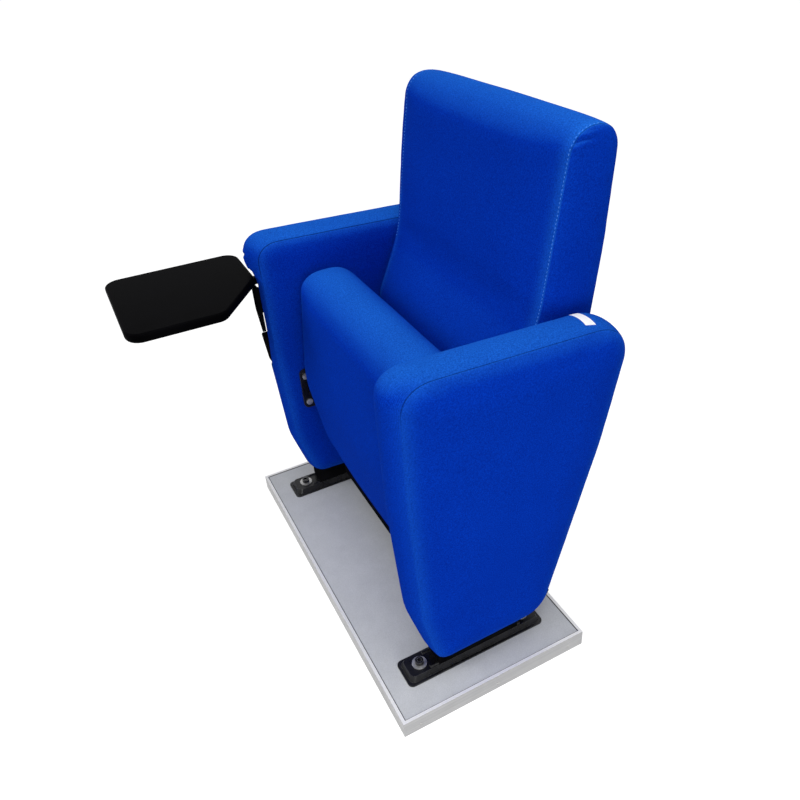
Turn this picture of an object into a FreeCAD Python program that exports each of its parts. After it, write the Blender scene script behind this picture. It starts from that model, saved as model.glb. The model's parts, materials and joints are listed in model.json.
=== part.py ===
"""Upholstered tip-up chair with a folding writing tablet, bolted to a display base.

Millimetres.  +Z is up, the sitter faces -Y and +X is the sitter's left.  The origin is the
middle of the base board's underside.  The seat is folded up and the tablet is out, ready to use.
"""
import FreeCAD, Part
import math
import os
from FreeCAD import Vector

# Clearances
PRESS_PLAY = 0.03
RUN_PLAY = 0.06
SCREW_PLAY = 0.2
SOFT_GAP = 0.3

# Widths: the seat sets how far apart the sides stand
SEAT_HALF = 249.0
SEAT_SIDE_GAP = 12.0
BACK_SIDE_GAP = 5.0
PANEL_THICKNESS = 80.0
SIDE_X = SEAT_HALF + SEAT_SIDE_GAP + PANEL_THICKNESS / 2
PANEL_FACE = SIDE_X - PANEL_THICKNESS / 2

# Base board and its aluminium edge trim
BOARD_SIDE_MARGIN = 89.0
BOARD_WIDTH = 2 * (SIDE_X + BOARD_SIDE_MARGIN)
BOARD_DEPTH = 387.0
BASE_HEIGHT = 36.0
TRIM_GAUGE = 1.5
TRIM_FLANGE = 6.0
BOARD_TOP = BASE_HEIGHT - TRIM_GAUGE

# Sides: a foot, an upright and a panel on each side of the seat
CORE_THICKNESS = 52.0
CORE_INSET = 16.0
CORE_FACE = SIDE_X - CORE_THICKNESS / 2

# Side panel outline, along the seams
PANEL_TOP = 677.0
PANEL_BOTTOM = 97.0
PANEL_FRONT = -137.0
PANEL_REAR = 276.0
PANEL_TOE = -106.0
PANEL_HEEL = 134.0
PANEL_KNEE = 440.0
PANEL_KNEE_REAR = 237.0
ARM_FALL = 9.0
ARM_FRONT_RADIUS = 38.0
ARM_REAR_RADIUS = 50.0
HEEL_RADIUS = 45.0
TOE_RADIUS = 28.0
KNEE_RADIUS = 400.0
PANEL_CROWN = 6.0
PANEL_FACE_CROWN = 3.0
PANEL_EDGE = 6.0
PANEL_CAP = 70.0

# Pressed foot
FOOT_WIDTH = 62.0
FOOT_LENGTH = 293.0
FOOT_Y = -4.0
FOOT_RISE = 14.0
FOOT_GAUGE = 3.0
FOOT_CORNER = 10.0
FOOT_FLANGE = 4.0
FOOT_DRAFT = 5.0
FOOT_RIB_LENGTH = 196.0
FOOT_RIB_RADIUS = 3.0
FOOT_RIB_OFFSET = 17.0
FOOT_TOP = BOARD_TOP + FOOT_RISE

# Anchor bolts
BOLT_PITCH = 223.0
BOLT_RADIUS = 5.0
BOLT_HEAD_RADIUS = 8.0
BOLT_HEAD_HEIGHT = 8.0
BOLT_SOCKET_RADIUS = 4.6
BOLT_SOCKET_DEPTH = 5.0
BOLT_END = 8.0
WASHER_RADIUS = 14.0
WASHER_GAUGE = 2.0

# Upright tube
UPRIGHT_DEPTH = 60.0
UPRIGHT_WIDTH = 30.0
UPRIGHT_WALL = 2.5
UPRIGHT_TOP = 560.0

# Shoe under the panel
SHOE_WIDTH = 56.0
SHOE_LIP = 7.0
SHOE_LIP_TOP = 118.0
SHOE_LENGTH = 170.0

# Back
BACK_HALF = PANEL_FACE - BACK_SIDE_GAP
BACK_TOP = 949.0
BACK_BOTTOM = 447.0
BACK_TOP_FRONT = 209.0
BACK_TOP_REAR = 304.0
BACK_FOOT_REAR = 245.0
BACK_FOOT_FRONT = 98.0
BACK_LUMBAR = 101.0
BACK_LUMBAR_HEIGHT = 525.0
BACK_WAIST = 160.0
BACK_WAIST_HEIGHT = 655.0
BACK_ROLL_RADIUS = 44.0
BACK_CROWN = 5.0
BACK_FACE_CROWN = 3.0
BACK_EDGE = 7.0
BACK_CAP = 40.0
BACK_BOARD_GAUGE = 18.0
BACK_BOARD_COVER = 16.0
BACK_BOARD_MARGIN = 31.0
BACK_BOARD_HALF = BACK_HALF - BACK_BOARD_MARGIN
BACK_BOARD_LOW = 470.0
BACK_BOARD_HIGH = 905.0

# Back brackets
BRACKET_GAUGE = 4.0
BRACKET_WIDTH = 54.0
BRACKET_HEIGHT = 110.0
BRACKET_CORNER = 8.0
BRACKET_Z = 560.0
BRACKET_SCREW_PITCH = 84.0
BACK_BOLT_PITCH = 44.0
BACK_BOLT_RADIUS = 5.0
BACK_BOLT_DEPTH = 40.0
SPACER_RADIUS = 9.0

# Seat, folded up
SEAT_TOP = 607.0
SEAT_BOTTOM = 104.0
SEAT_TOP_FRONT = -67.0
SEAT_TOP_REAR = 52.0
SEAT_FOOT_REAR = 38.0
SEAT_FOOT_FRONT = -28.0
SEAT_BELLY = -91.0
SEAT_BELLY_HEIGHT = 375.0
SEAT_SHIN = -72.0
SEAT_SHIN_HEIGHT = 215.0
SEAT_ROLL_RADIUS = 56.0
SEAT_CROWN = 3.0
SEAT_FACE_CROWN = 3.0
SEAT_EDGE = 7.0
SEAT_CAP = 27.0
SEAT_BOARD_Y = -25.0
SEAT_BOARD_GAUGE = 15.0
SEAT_BOARD_MARGIN = 21.0
SEAT_BOARD_HALF = SEAT_HALF - SEAT_BOARD_MARGIN
SEAT_BOARD_HIGH = 560.0
CAP_MARGIN = 9.0
CAP_HALF = SEAT_HALF - CAP_MARGIN
CAP_DEPTH = 24.0
CAP_RADIUS = 8.0

# Seat pivot
PIVOT_Y = -52.0
PIVOT_Z = 336.0
SEAT_TRAVEL = 85.0
PIN_RADIUS = 8.0
PIN_REACH = 4.0
PLATE_GAUGE = 5.0
PLATE_WIDTH = 64.0
PLATE_HEIGHT = 98.0
PLATE_CORNER = 12.0
PLATE_LEAD = 14.0
PLATE_SCREW_PITCH = 66.0
PLATE_SCREW_LEAD = 34.0
SCREW_RADIUS = 4.0
SCREW_HEAD_RADIUS = 7.0
SCREW_HEAD_HEIGHT = 3.0
SCREW_DEPTH = 20.0
HUB_MARGIN = 13.0
HUB_X = SEAT_HALF - HUB_MARGIN
HUB_GAUGE = 5.0
HUB_RADIUS = 27.0
HUB_FLANGE_LENGTH = 30.0
HUB_FLANGE_GAUGE = 4.0
HUB_FLANGE_HALF = 34.0
SLOT_RADIUS = 19.0
STUD_RADIUS = 3.5
STUD_ANGLE = 172.0
STOP_PLAY = 0.4
BUSH_WALL = 3.0
BUSH_FLANGE = 2.5
BUSH_FLANGE_GAUGE = 1.5
CARTRIDGE_RADIUS = 20.0
CARTRIDGE_LENGTH = 30.0
HUB_HOLE_PLAY = 1.5

# Tablet: its rear edge stands off the panel's front, and its height sets the notch's
TABLET_TOP = 608.0
TABLET_GAUGE = 20.0
TABLET_DEPTH = 269.0
TABLET_STANDOFF = 9.0
TABLET_OUTSET = 133.0
TABLET_INSET = 138.0
TABLET_CUT_INSET = 16.0
TABLET_CUT_LENGTH = 92.0
TABLET_OUTER = -SIDE_X - TABLET_OUTSET
TABLET_INNER = TABLET_INSET - SIDE_X
TABLET_REAR = PANEL_FRONT - TABLET_STANDOFF
TABLET_FRONT = TABLET_REAR - TABLET_DEPTH
TABLET_CUT_X = TABLET_CUT_INSET - SIDE_X
TABLET_CUT_Y = TABLET_REAR - TABLET_CUT_LENGTH
TABLET_CORNER = 30.0
TABLET_CUT_CORNER = 26.0
TABLET_TOP_ROUND = 5.0
TABLET_BOTTOM_ROUND = 9.0

# Notch in the right panel's front edge and the channel that lines it
NOTCH_WIDTH = 45.0
NOTCH_DEPTH = 48.0
NOTCH_RISE = 10.0
NOTCH_HEIGHT = 233.0
NOTCH_TOP = TABLET_TOP + NOTCH_RISE
NOTCH_BOTTOM = NOTCH_TOP - NOTCH_HEIGHT
CHANNEL_GAUGE = 2.5
CHANNEL_SETBACK = 3.0
BLOCK_HEIGHT = 68.0
BLOCK_PROUD = 7.0
BLOCK_CORNER = 4.0
COVER_DEPTH = 7.5
COVER_CORNER = 5.0
COVER_WIDTH = 27.0
COVER_DROP = 41.0
COVER_HEIGHT = 99.0
COVER_TAPER = 44.0
COVER_TOP = NOTCH_TOP - COVER_DROP
COVER_TIP = COVER_TOP - COVER_HEIGHT
COVER_SHOULDER = COVER_TIP + COVER_TAPER

# Tablet hinge: a flip axis along Y, and a swing stud that stands square to the tablet
FLIP_OUTSET = 19.0
FLIP_X = -SIDE_X - FLIP_OUTSET
FLIP_DROP = 32.0
SWING_Y = -118.0
FLIP_PIN_RADIUS = 6.0
BARREL_RADIUS = 12.0
EAR_GAUGE = 5.0
EAR_HALF = 13.0
KNUCKLE_LENGTH = 36.0
NECK_DEPTH = 28.0
WEB_DROP = 18.0
WEB_GAUGE = 4.0
LUG_RISE = 4.0
LUG_GAUGE = 6.0
LUG_DEPTH = 14.0
LUG_REACH = 19.0
POST_GAUGE = 5.0
SWING_STUD_RADIUS = 6.0
SWING_STUD_SEAT = 16.0
STUD_HEAD_RADIUS = 9.0
STUD_HEAD_HEIGHT = 4.0
FRICTION_GAUGE = 2.0
FRICTION_RADIUS = 14.0
ARM_GAUGE = 4.0
ARM_EYE_RADIUS = 17.0
ARM_HALF = 38.0
ARM_ROOT = 16.0
ARM_LENGTH = 100.0
ARM_CORNER = 12.0
TABLET_SCREW_RADIUS = 2.5
TABLET_SCREW_DEPTH = 12.0
TABLET_SCREW_MARGIN = 14.0

SECTION_RADIUS_FLOOR = 3.0


# Outline and solid helpers
def unit(dy, dz):
    """Direction of a plane vector."""
    length = math.hypot(dy, dz)
    return dy / length, dz / length


def inset_corners(corners, inset):
    """Move every edge of a counter-clockwise outline inwards, and its corner radii with it."""
    moved = []
    count = len(corners)
    for index in range(count):
        before = corners[index - 1]
        here = corners[index]
        after = corners[(index + 1) % count]
        ay, az = unit(here[0] - before[0], here[1] - before[1])
        by, bz = unit(after[0] - here[0], after[1] - here[1])
        turn = ay * bz - az * by
        along = inset * (1 - (ay * by + az * bz)) / turn
        y = here[0] - az * inset - ay * along
        z = here[1] + ay * inset - az * along
        radius = here[2] - inset if turn > 0 else here[2] + inset
        moved.append((y, z, max(radius, SECTION_RADIUS_FLOOR)))
    return moved


def round_corner(before, here, after):
    """Start, middle and end of the arc that rounds one corner."""
    ay, az = unit(here[0] - before[0], here[1] - before[1])
    by, bz = unit(after[0] - here[0], after[1] - here[1])
    turn = math.acos(max(-1.0, min(1.0, ay * by + az * bz)))
    room = 0.48 * min(math.dist(before[:2], here[:2]), math.dist(here[:2], after[:2]))
    cut = min(here[2] * math.tan(turn / 2), room)
    radius = cut / math.tan(turn / 2)
    start = (here[0] - ay * cut, here[1] - az * cut)
    end = (here[0] + by * cut, here[1] + bz * cut)
    my, mz = unit(by - ay, bz - az)
    sagitta = radius / math.cos(turn / 2) - radius
    return start, (here[0] + my * sagitta, here[1] + mz * sagitta), end


def rounded_wire(corners, place):
    """Closed wire of lines and tangent arcs; place turns a plane point into a Vector."""
    count = len(corners)
    arcs = [round_corner(corners[i - 1], corners[i], corners[(i + 1) % count]) for i in range(count)]
    edges = []
    for index, arc in enumerate(arcs):
        start, middle, end = [place(*point) for point in arc]
        edges.append(Part.Arc(start, middle, end).toShape())
        edges.append(Part.LineSegment(end, place(*arcs[(index + 1) % count][0])).toShape())
    return Part.Wire(edges)


def side_wire(corners, x):
    """Outline in a Y-Z plane."""
    return rounded_wire(corners, lambda y, z: Vector(x, y, z))


def flat_wire(corners, z):
    """Outline in an X-Y plane."""
    return rounded_wire(corners, lambda x, y: Vector(x, y, z))


def side_slab(corners, x_low, x_high):
    """Solid of a Y-Z outline between two X planes."""
    return Part.Face(side_wire(corners, x_low)).extrude(Vector(x_high - x_low, 0, 0))


def flat_slab(corners, z_low, z_high):
    """Solid of an X-Y outline between two heights."""
    return Part.Face(flat_wire(corners, z_low)).extrude(Vector(0, 0, z_high - z_low))


def block(x_low, x_high, y_low, y_high, z_low, z_high):
    """Box between two corners."""
    return Part.makeBox(x_high - x_low, y_high - y_low, z_high - z_low, Vector(x_low, y_low, z_low))


def rectangle(y_low, y_high, z_low, z_high, radius):
    """Corners of a rounded rectangle."""
    return [(y_low, z_low, radius), (y_high, z_low, radius), (y_high, z_high, radius), (y_low, z_high, radius)]


def rod(radius, start, end):
    """Cylinder between two points."""
    axis = end.sub(start)
    return Part.makeCylinder(radius, axis.Length, start, axis)


def x_rod(radius, x_low, x_high, y, z):
    """Cylinder along X."""
    return rod(radius, Vector(x_low, y, z), Vector(x_high, y, z))


def mirrored(shape):
    """The same piece on the sitter's other side."""
    return shape.mirror(Vector(0, 0, 0), Vector(1, 0, 0))


def pillow_stations(half, cap, face_crown, edge, crown):
    """Distance from the middle and inset of each section, from an end face in to the middle."""
    stations = []
    for share in (1.0, 0.55, 0.28):
        stations.append((half - face_crown * (1 - share) ** 2, cap * share))
    shoulder = half - face_crown
    for degrees in (0, 30, 60, 90):
        angle = math.radians(degrees)
        stations.append((shoulder - edge * (1 - math.cos(angle)), edge * (1 - math.sin(angle))))
    seam = shoulder - edge
    for share in (0.75, 0.4):
        stations.append((seam * share, -crown * (1 - share ** 2)))
    return stations


def pillow(corners, centre, half, cap, face_crown, edge, crown):
    """Upholstered form across X: crowned faces, rounded seams and a gusset that swells between them."""
    near = pillow_stations(half, cap, face_crown, edge, crown)
    far = [(-x, inset) for x, inset in reversed(near)]
    stations = near + [(0.0, -crown)] + far
    wires = [side_wire(inset_corners(corners, inset), centre + x) for x, inset in stations]
    return Part.makeLoft(wires, True, True)


# Base
def base_board():
    """Laminate board, drilled for the anchor bolts."""
    half_x = BOARD_WIDTH / 2 - TRIM_GAUGE
    half_y = BOARD_DEPTH / 2 - TRIM_GAUGE
    board = block(-half_x, half_x, -half_y, half_y, 0, BOARD_TOP)
    for x, y in bolt_places():
        board = board.cut(rod(BOLT_RADIUS + SCREW_PLAY, Vector(x, y, BOLT_END), Vector(x, y, BOARD_TOP)))
    return board


def base_trims():
    """Mitred aluminium angle round the board, one length for each edge."""
    x = BOARD_WIDTH / 2
    y = BOARD_DEPTH / 2
    ring = block(-x, x, -y, y, 0, BASE_HEIGHT)
    ring = ring.cut(block(TRIM_GAUGE - x, x - TRIM_GAUGE, TRIM_GAUGE - y, y - TRIM_GAUGE, 0, BOARD_TOP))
    ring = ring.cut(block(TRIM_FLANGE - x, x - TRIM_FLANGE, TRIM_FLANGE - y, y - TRIM_FLANGE, 0, BASE_HEIGHT))
    reach = TRIM_FLANGE
    edges = {
        "front": [(-x, -y), (x, -y), (x - reach, reach - y), (reach - x, reach - y)],
        "rear": [(x, y), (-x, y), (reach - x, y - reach), (x - reach, y - reach)],
        "left": [(x, -y), (x, y), (x - reach, y - reach), (x - reach, reach - y)],
        "right": [(-x, y), (-x, -y), (reach - x, reach - y), (reach - x, y - reach)],
    }
    trims = {}
    for name, points in edges.items():
        wire = Part.makePolygon([Vector(px, py, 0) for px, py in points + points[:1]])
        trims["base_trim_" + name] = ring.common(Part.Face(wire).extrude(Vector(0, 0, BASE_HEIGHT)))
    return trims


def bolt_places():
    """Plan position of every anchor bolt."""
    return [(x, FOOT_Y + y) for x in (-SIDE_X, SIDE_X) for y in (-BOLT_PITCH / 2, BOLT_PITCH / 2)]


def anchor_bolts():
    """Socket head screws."""
    bolts = []
    seat = FOOT_TOP + WASHER_GAUGE
    top = seat + BOLT_HEAD_HEIGHT
    for x, y in bolt_places():
        bolt = rod(BOLT_RADIUS, Vector(x, y, BOLT_END), Vector(x, y, seat))
        bolt = bolt.fuse(rod(BOLT_HEAD_RADIUS, Vector(x, y, seat), Vector(x, y, top)))
        socket = Part.makePolygon([
            Vector(x + BOLT_SOCKET_RADIUS * math.cos(k * math.pi / 3),
                   y + BOLT_SOCKET_RADIUS * math.sin(k * math.pi / 3), top) for k in range(7)])
        bolts.append(bolt.cut(Part.Face(socket).extrude(Vector(0, 0, -BOLT_SOCKET_DEPTH))))
    return Part.makeCompound(bolts)


def anchor_washers():
    """Plain washers under the bolt heads."""
    washers = []
    for x, y in bolt_places():
        low = Vector(x, y, FOOT_TOP)
        high = Vector(x, y, FOOT_TOP + WASHER_GAUGE)
        washers.append(rod(WASHER_RADIUS, low, high).cut(rod(BOLT_RADIUS + SCREW_PLAY, low, high)))
    return Part.makeCompound(washers)


# Sides, modelled on the left and mirrored
def panel_corners():
    """Seam outline of a side panel: toe, heel, rear knee, arm rear, arm front, front knee."""
    return [
        (PANEL_TOE, PANEL_BOTTOM, TOE_RADIUS),
        (PANEL_HEEL, PANEL_BOTTOM, HEEL_RADIUS),
        (PANEL_KNEE_REAR, PANEL_KNEE, KNEE_RADIUS),
        (PANEL_REAR, PANEL_TOP - ARM_FALL, ARM_REAR_RADIUS),
        (PANEL_FRONT, PANEL_TOP, ARM_FRONT_RADIUS),
        (PANEL_FRONT, PANEL_KNEE, KNEE_RADIUS),
    ]


def foot_corners(inset, radius):
    """Plan outline of the foot, drawn in by inset."""
    half_x = FOOT_WIDTH / 2 - inset
    half_y = FOOT_LENGTH / 2 - inset
    return rectangle(SIDE_X - half_x, SIDE_X + half_x, FOOT_Y - half_y, FOOT_Y + half_y, radius)


def pressing(inset, low, high):
    """Drafted dome of the foot."""
    base = flat_wire(foot_corners(inset, FOOT_CORNER), low)
    top = flat_wire(foot_corners(inset + FOOT_DRAFT, FOOT_CORNER), high)
    return Part.makeLoft([base, top], True, True)


def foot():
    """Pressed steel foot: flange, drafted dome open below, and two stiffening ribs."""
    flange = flat_slab(foot_corners(0, FOOT_CORNER), BOARD_TOP, BOARD_TOP + FOOT_GAUGE)
    body = flange.fuse(pressing(FOOT_FLANGE, BOARD_TOP, FOOT_TOP))
    for offset in (-FOOT_RIB_OFFSET, FOOT_RIB_OFFSET):
        start = Vector(SIDE_X + offset, FOOT_Y - FOOT_RIB_LENGTH / 2, FOOT_TOP)
        end = Vector(SIDE_X + offset, FOOT_Y + FOOT_RIB_LENGTH / 2, FOOT_TOP)
        body = body.fuse(rod(FOOT_RIB_RADIUS, start, end))
    body = body.cut(pressing(FOOT_FLANGE + FOOT_GAUGE, BOARD_TOP, FOOT_TOP - FOOT_GAUGE))
    for x, y in bolt_places():
        body = body.cut(rod(BOLT_RADIUS + SCREW_PLAY, Vector(x, y, BOARD_TOP), Vector(x, y, FOOT_TOP)))
    return body.removeSplitter()


def upright_block(play):
    """Outer envelope of the upright tube."""
    half_x = UPRIGHT_WIDTH / 2 + play
    half_y = UPRIGHT_DEPTH / 2 + play
    return block(SIDE_X - half_x, SIDE_X + half_x, -half_y, half_y, FOOT_TOP, UPRIGHT_TOP + play)


def upright():
    """Rectangular steel tube that stands on the foot, between its ribs, inside the panel."""
    bore = block(SIDE_X - UPRIGHT_WIDTH / 2 + UPRIGHT_WALL, SIDE_X + UPRIGHT_WIDTH / 2 - UPRIGHT_WALL,
                 UPRIGHT_WALL - UPRIGHT_DEPTH / 2, UPRIGHT_DEPTH / 2 - UPRIGHT_WALL, FOOT_TOP, UPRIGHT_TOP)
    tube = upright_block(0).cut(bore)
    for offset in (-FOOT_RIB_OFFSET, FOOT_RIB_OFFSET):
        start = Vector(SIDE_X + offset, FOOT_Y - FOOT_RIB_LENGTH / 2, FOOT_TOP)
        end = Vector(SIDE_X + offset, FOOT_Y + FOOT_RIB_LENGTH / 2, FOOT_TOP)
        tube = tube.cut(rod(FOOT_RIB_RADIUS + PRESS_PLAY, start, end))
    return tube


def core_slab():
    """Plywood core of the panel, before it is drilled."""
    corners = inset_corners(panel_corners(), CORE_INSET)
    return side_slab(corners, CORE_FACE, CORE_FACE + CORE_THICKNESS)


def panel_form(grow):
    """Outside of the upholstered panel."""
    corners = inset_corners(panel_corners(), -grow)
    half = PANEL_THICKNESS / 2 + grow
    return pillow(corners, SIDE_X, half, PANEL_CAP, PANEL_FACE_CROWN, PANEL_EDGE, PANEL_CROWN)


def plate_screws():
    """Axis of every screw that holds a pivot plate."""
    y = PIVOT_Y - PLATE_SCREW_LEAD
    return [(y, PIVOT_Z - PLATE_SCREW_PITCH / 2), (y, PIVOT_Z + PLATE_SCREW_PITCH / 2)]


def back_line(z, depth):
    """Y of a line that runs depth in front of the back's rear face."""
    slope = (BACK_TOP_REAR - BACK_FOOT_REAR) / (BACK_TOP - BACK_BOTTOM)
    return BACK_FOOT_REAR + slope * (z - BACK_BOTTOM) - depth * math.hypot(1, slope)


def bracket_screws():
    """Axis of every screw that holds a back bracket."""
    y = back_line(BRACKET_Z, BACK_BOARD_COVER + BACK_BOARD_GAUGE)
    return [(y, BRACKET_Z - BRACKET_SCREW_PITCH / 2), (y, BRACKET_Z + BRACKET_SCREW_PITCH / 2)]


def drill_panel(shape, radius, x_low, x_high):
    """Bore the screw axes of the pivot plate and the back bracket through a panel piece."""
    for y, z in plate_screws() + bracket_screws():
        shape = shape.cut(x_rod(radius, x_low, x_high, y, z))
    return shape


def panel_core():
    """Plywood core with its slot for the upright and its screw holes."""
    core = core_slab().cut(upright_block(PRESS_PLAY))
    return drill_panel(core, SCREW_RADIUS + SCREW_PLAY, CORE_FACE, CORE_FACE + SCREW_DEPTH + SCREW_PLAY)


def panel_cushion():
    """Foam and fabric round the core, open below for the upright."""
    cushion = panel_form(0).cut(core_slab()).cut(upright_block(SOFT_GAP))
    return drill_panel(cushion, SPACER_RADIUS + SOFT_GAP, PANEL_FACE - PANEL_EDGE, CORE_FACE)


def panel_shoe():
    """Black moulding that carries the panel's lower edge on the foot."""
    low = SIDE_X - SHOE_WIDTH / 2
    high = SIDE_X + SHOE_WIDTH / 2
    lip = side_slab(inset_corners(panel_corners(), -PANEL_CROWN - SHOE_LIP), low, high)
    lip = lip.common(block(low, high, -SHOE_LENGTH / 2, 2 * PANEL_REAR, FOOT_TOP, SHOE_LIP_TOP))
    pedestal_low = FOOT_TOP + FOOT_RIB_RADIUS + PRESS_PLAY
    pedestal = block(SIDE_X - UPRIGHT_WIDTH / 2 - CORE_INSET / 2, SIDE_X + UPRIGHT_WIDTH / 2 + CORE_INSET / 2,
                     -SHOE_LENGTH / 2, SHOE_LENGTH / 2, pedestal_low, PANEL_BOTTOM)
    return lip.fuse(pedestal).cut(panel_form(SOFT_GAP)).cut(upright_block(PRESS_PLAY)).removeSplitter()


# Back
def back_corners():
    """Seam outline of the back, from its front lower edge round to the waist."""
    return [
        (BACK_FOOT_FRONT, BACK_BOTTOM, 38),
        (BACK_FOOT_REAR, BACK_BOTTOM, 26),
        (BACK_TOP_REAR, BACK_TOP, BACK_ROLL_RADIUS),
        (BACK_TOP_FRONT, BACK_TOP, BACK_ROLL_RADIUS),
        (BACK_WAIST, BACK_WAIST_HEIGHT, 300),
        (BACK_LUMBAR, BACK_LUMBAR_HEIGHT, 80),
    ]


def back_board():
    """Plywood board inside the back, along its rear face."""
    front = BACK_BOARD_COVER + BACK_BOARD_GAUGE
    corners = [
        (back_line(BACK_BOARD_LOW, front), BACK_BOARD_LOW),
        (back_line(BACK_BOARD_LOW, BACK_BOARD_COVER), BACK_BOARD_LOW),
        (back_line(BACK_BOARD_HIGH, BACK_BOARD_COVER), BACK_BOARD_HIGH),
        (back_line(BACK_BOARD_HIGH, front), BACK_BOARD_HIGH),
    ]
    wire = Part.makePolygon([Vector(-BACK_BOARD_HALF, y, z) for y, z in corners + corners[:1]])
    return Part.Face(wire).extrude(Vector(2 * BACK_BOARD_HALF, 0, 0))


def back_bolt_places():
    """Axis of every bolt that holds the back board to a bracket."""
    middle = BACK_BOARD_COVER + BACK_BOARD_GAUGE / 2
    heights = (BRACKET_Z - BACK_BOLT_PITCH / 2, BRACKET_Z + BACK_BOLT_PITCH / 2)
    return [(back_line(z, middle), z) for z in heights]


def bracket_face():
    """X of a back bracket's outer side, midway in the gap beside the back."""
    return (BACK_HALF + PANEL_FACE + BRACKET_GAUGE) / 2


def drilled_back(shape, radius):
    """Bore the bolts of both back brackets."""
    for side in (-1, 1):
        for y, z in back_bolt_places():
            near = side * (BACK_BOARD_HALF - BACK_BOLT_DEPTH)
            shape = shape.cut(x_rod(radius, near, side * PANEL_FACE, y, z))
    return shape


def back_cushion():
    """Foam and fabric round the back board."""
    form = pillow(back_corners(), 0, BACK_HALF, BACK_CAP, BACK_FACE_CROWN, BACK_EDGE, BACK_CROWN)
    return drilled_back(form.cut(back_board()), BACK_BOLT_RADIUS + SOFT_GAP)


def back_bracket():
    """Steel plate between the panel and the back, stood off the panel's core."""
    outer = bracket_face()
    y = back_line(BRACKET_Z, BACK_BOARD_COVER + BACK_BOARD_GAUGE)
    outline = rectangle(y - BRACKET_WIDTH / 2, y + BRACKET_WIDTH / 2,
                        BRACKET_Z - BRACKET_HEIGHT / 2, BRACKET_Z + BRACKET_HEIGHT / 2, BRACKET_CORNER)
    plate = side_slab(outline, outer - BRACKET_GAUGE, outer)
    for sy, sz in bracket_screws():
        plate = plate.fuse(x_rod(SPACER_RADIUS, outer, CORE_FACE, sy, sz))
    for sy, sz in bracket_screws():
        plate = plate.cut(x_rod(SCREW_RADIUS + PRESS_PLAY, outer - BRACKET_GAUGE, CORE_FACE, sy, sz))
    for by, bz in back_bolt_places():
        plate = plate.cut(x_rod(BACK_BOLT_RADIUS + PRESS_PLAY, outer - BRACKET_GAUGE, outer, by, bz))
    return plate


def back_bolts():
    """Bolts from the brackets into the back board."""
    low = BACK_BOARD_HALF - BACK_BOLT_DEPTH
    bolts = [x_rod(BACK_BOLT_RADIUS, low, bracket_face(), y, z) for y, z in back_bolt_places()]
    return Part.makeCompound(bolts + [mirrored(bolt) for bolt in bolts])


def bracket_screw_set():
    """Flush screws from the back brackets into the panel cores."""
    low = bracket_face() - BRACKET_GAUGE
    screws = [x_rod(SCREW_RADIUS, low, CORE_FACE + SCREW_DEPTH, y, z) for y, z in bracket_screws()]
    return Part.makeCompound(screws + [mirrored(screw) for screw in screws])


# Seat pivot, modelled on the left and mirrored
def pivot_plate():
    """Steel plate on the panel's inner face, with its stand-offs and the stud that stops the seat."""
    inner = PANEL_FACE - PLATE_GAUGE
    y = PIVOT_Y - PLATE_LEAD
    outline = rectangle(y - PLATE_WIDTH / 2, y + PLATE_WIDTH / 2,
                        PIVOT_Z - PLATE_HEIGHT / 2, PIVOT_Z + PLATE_HEIGHT / 2, PLATE_CORNER)
    plate = side_slab(outline, inner, PANEL_FACE)
    for sy, sz in plate_screws():
        plate = plate.fuse(x_rod(SPACER_RADIUS, PANEL_FACE, CORE_FACE, sy, sz))
    angle = math.radians(STUD_ANGLE)
    stud_y = PIVOT_Y + SLOT_RADIUS * math.cos(angle)
    stud_z = PIVOT_Z + SLOT_RADIUS * math.sin(angle)
    plate = plate.fuse(x_rod(STUD_RADIUS, HUB_X + STOP_PLAY, inner, stud_y, stud_z))
    for sy, sz in plate_screws():
        plate = plate.cut(x_rod(SCREW_RADIUS + PRESS_PLAY, inner, CORE_FACE, sy, sz))
    return plate.cut(x_rod(PIN_RADIUS + PRESS_PLAY, inner, PANEL_FACE, PIVOT_Y, PIVOT_Z))


def pivot_pin():
    """Pin fixed in the pivot plate, on which the seat turns."""
    return x_rod(PIN_RADIUS, HUB_X - PIN_REACH, PANEL_FACE, PIVOT_Y, PIVOT_Z)


def pivot_screws():
    """Button head screws of both pivot plates."""
    inner = PANEL_FACE - PLATE_GAUGE
    screws = []
    for y, z in plate_screws():
        shank = x_rod(SCREW_RADIUS, inner, CORE_FACE + SCREW_DEPTH, y, z)
        screws.append(shank.fuse(x_rod(SCREW_HEAD_RADIUS, inner - SCREW_HEAD_HEIGHT, inner, y, z)))
    return Part.makeCompound(screws + [mirrored(screw) for screw in screws])


def arc_slot(x_low, x_high):
    """Curved slot in the hub that runs on the stop stud, as long as the seat's travel."""
    play = math.degrees(STOP_PLAY / SLOT_RADIUS)
    first = math.radians(STUD_ANGLE - SEAT_TRAVEL - play)
    last = math.radians(STUD_ANGLE + play)
    half = STUD_RADIUS + STOP_PLAY

    def at(radius, angle):
        return Vector(x_low, PIVOT_Y + radius * math.cos(angle), PIVOT_Z + radius * math.sin(angle))

    def end_cap(angle, away):
        tip = at(SLOT_RADIUS, angle).add(Vector(0, -math.sin(angle), math.cos(angle)).multiply(away * half))
        return tip

    middle = (first + last) / 2
    edges = [
        Part.Arc(at(SLOT_RADIUS + half, first), at(SLOT_RADIUS + half, middle), at(SLOT_RADIUS + half, last)),
        Part.Arc(at(SLOT_RADIUS + half, last), end_cap(last, 1), at(SLOT_RADIUS - half, last)),
        Part.Arc(at(SLOT_RADIUS - half, last), at(SLOT_RADIUS - half, middle), at(SLOT_RADIUS - half, first)),
        Part.Arc(at(SLOT_RADIUS - half, first), end_cap(first, -1), at(SLOT_RADIUS + half, first)),
    ]
    return Part.Face(Part.Wire([edge.toShape() for edge in edges])).extrude(Vector(x_high - x_low, 0, 0))


def bush_radius():
    """Outside of the pivot bush."""
    return PIN_RADIUS + RUN_PLAY + BUSH_WALL


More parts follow.
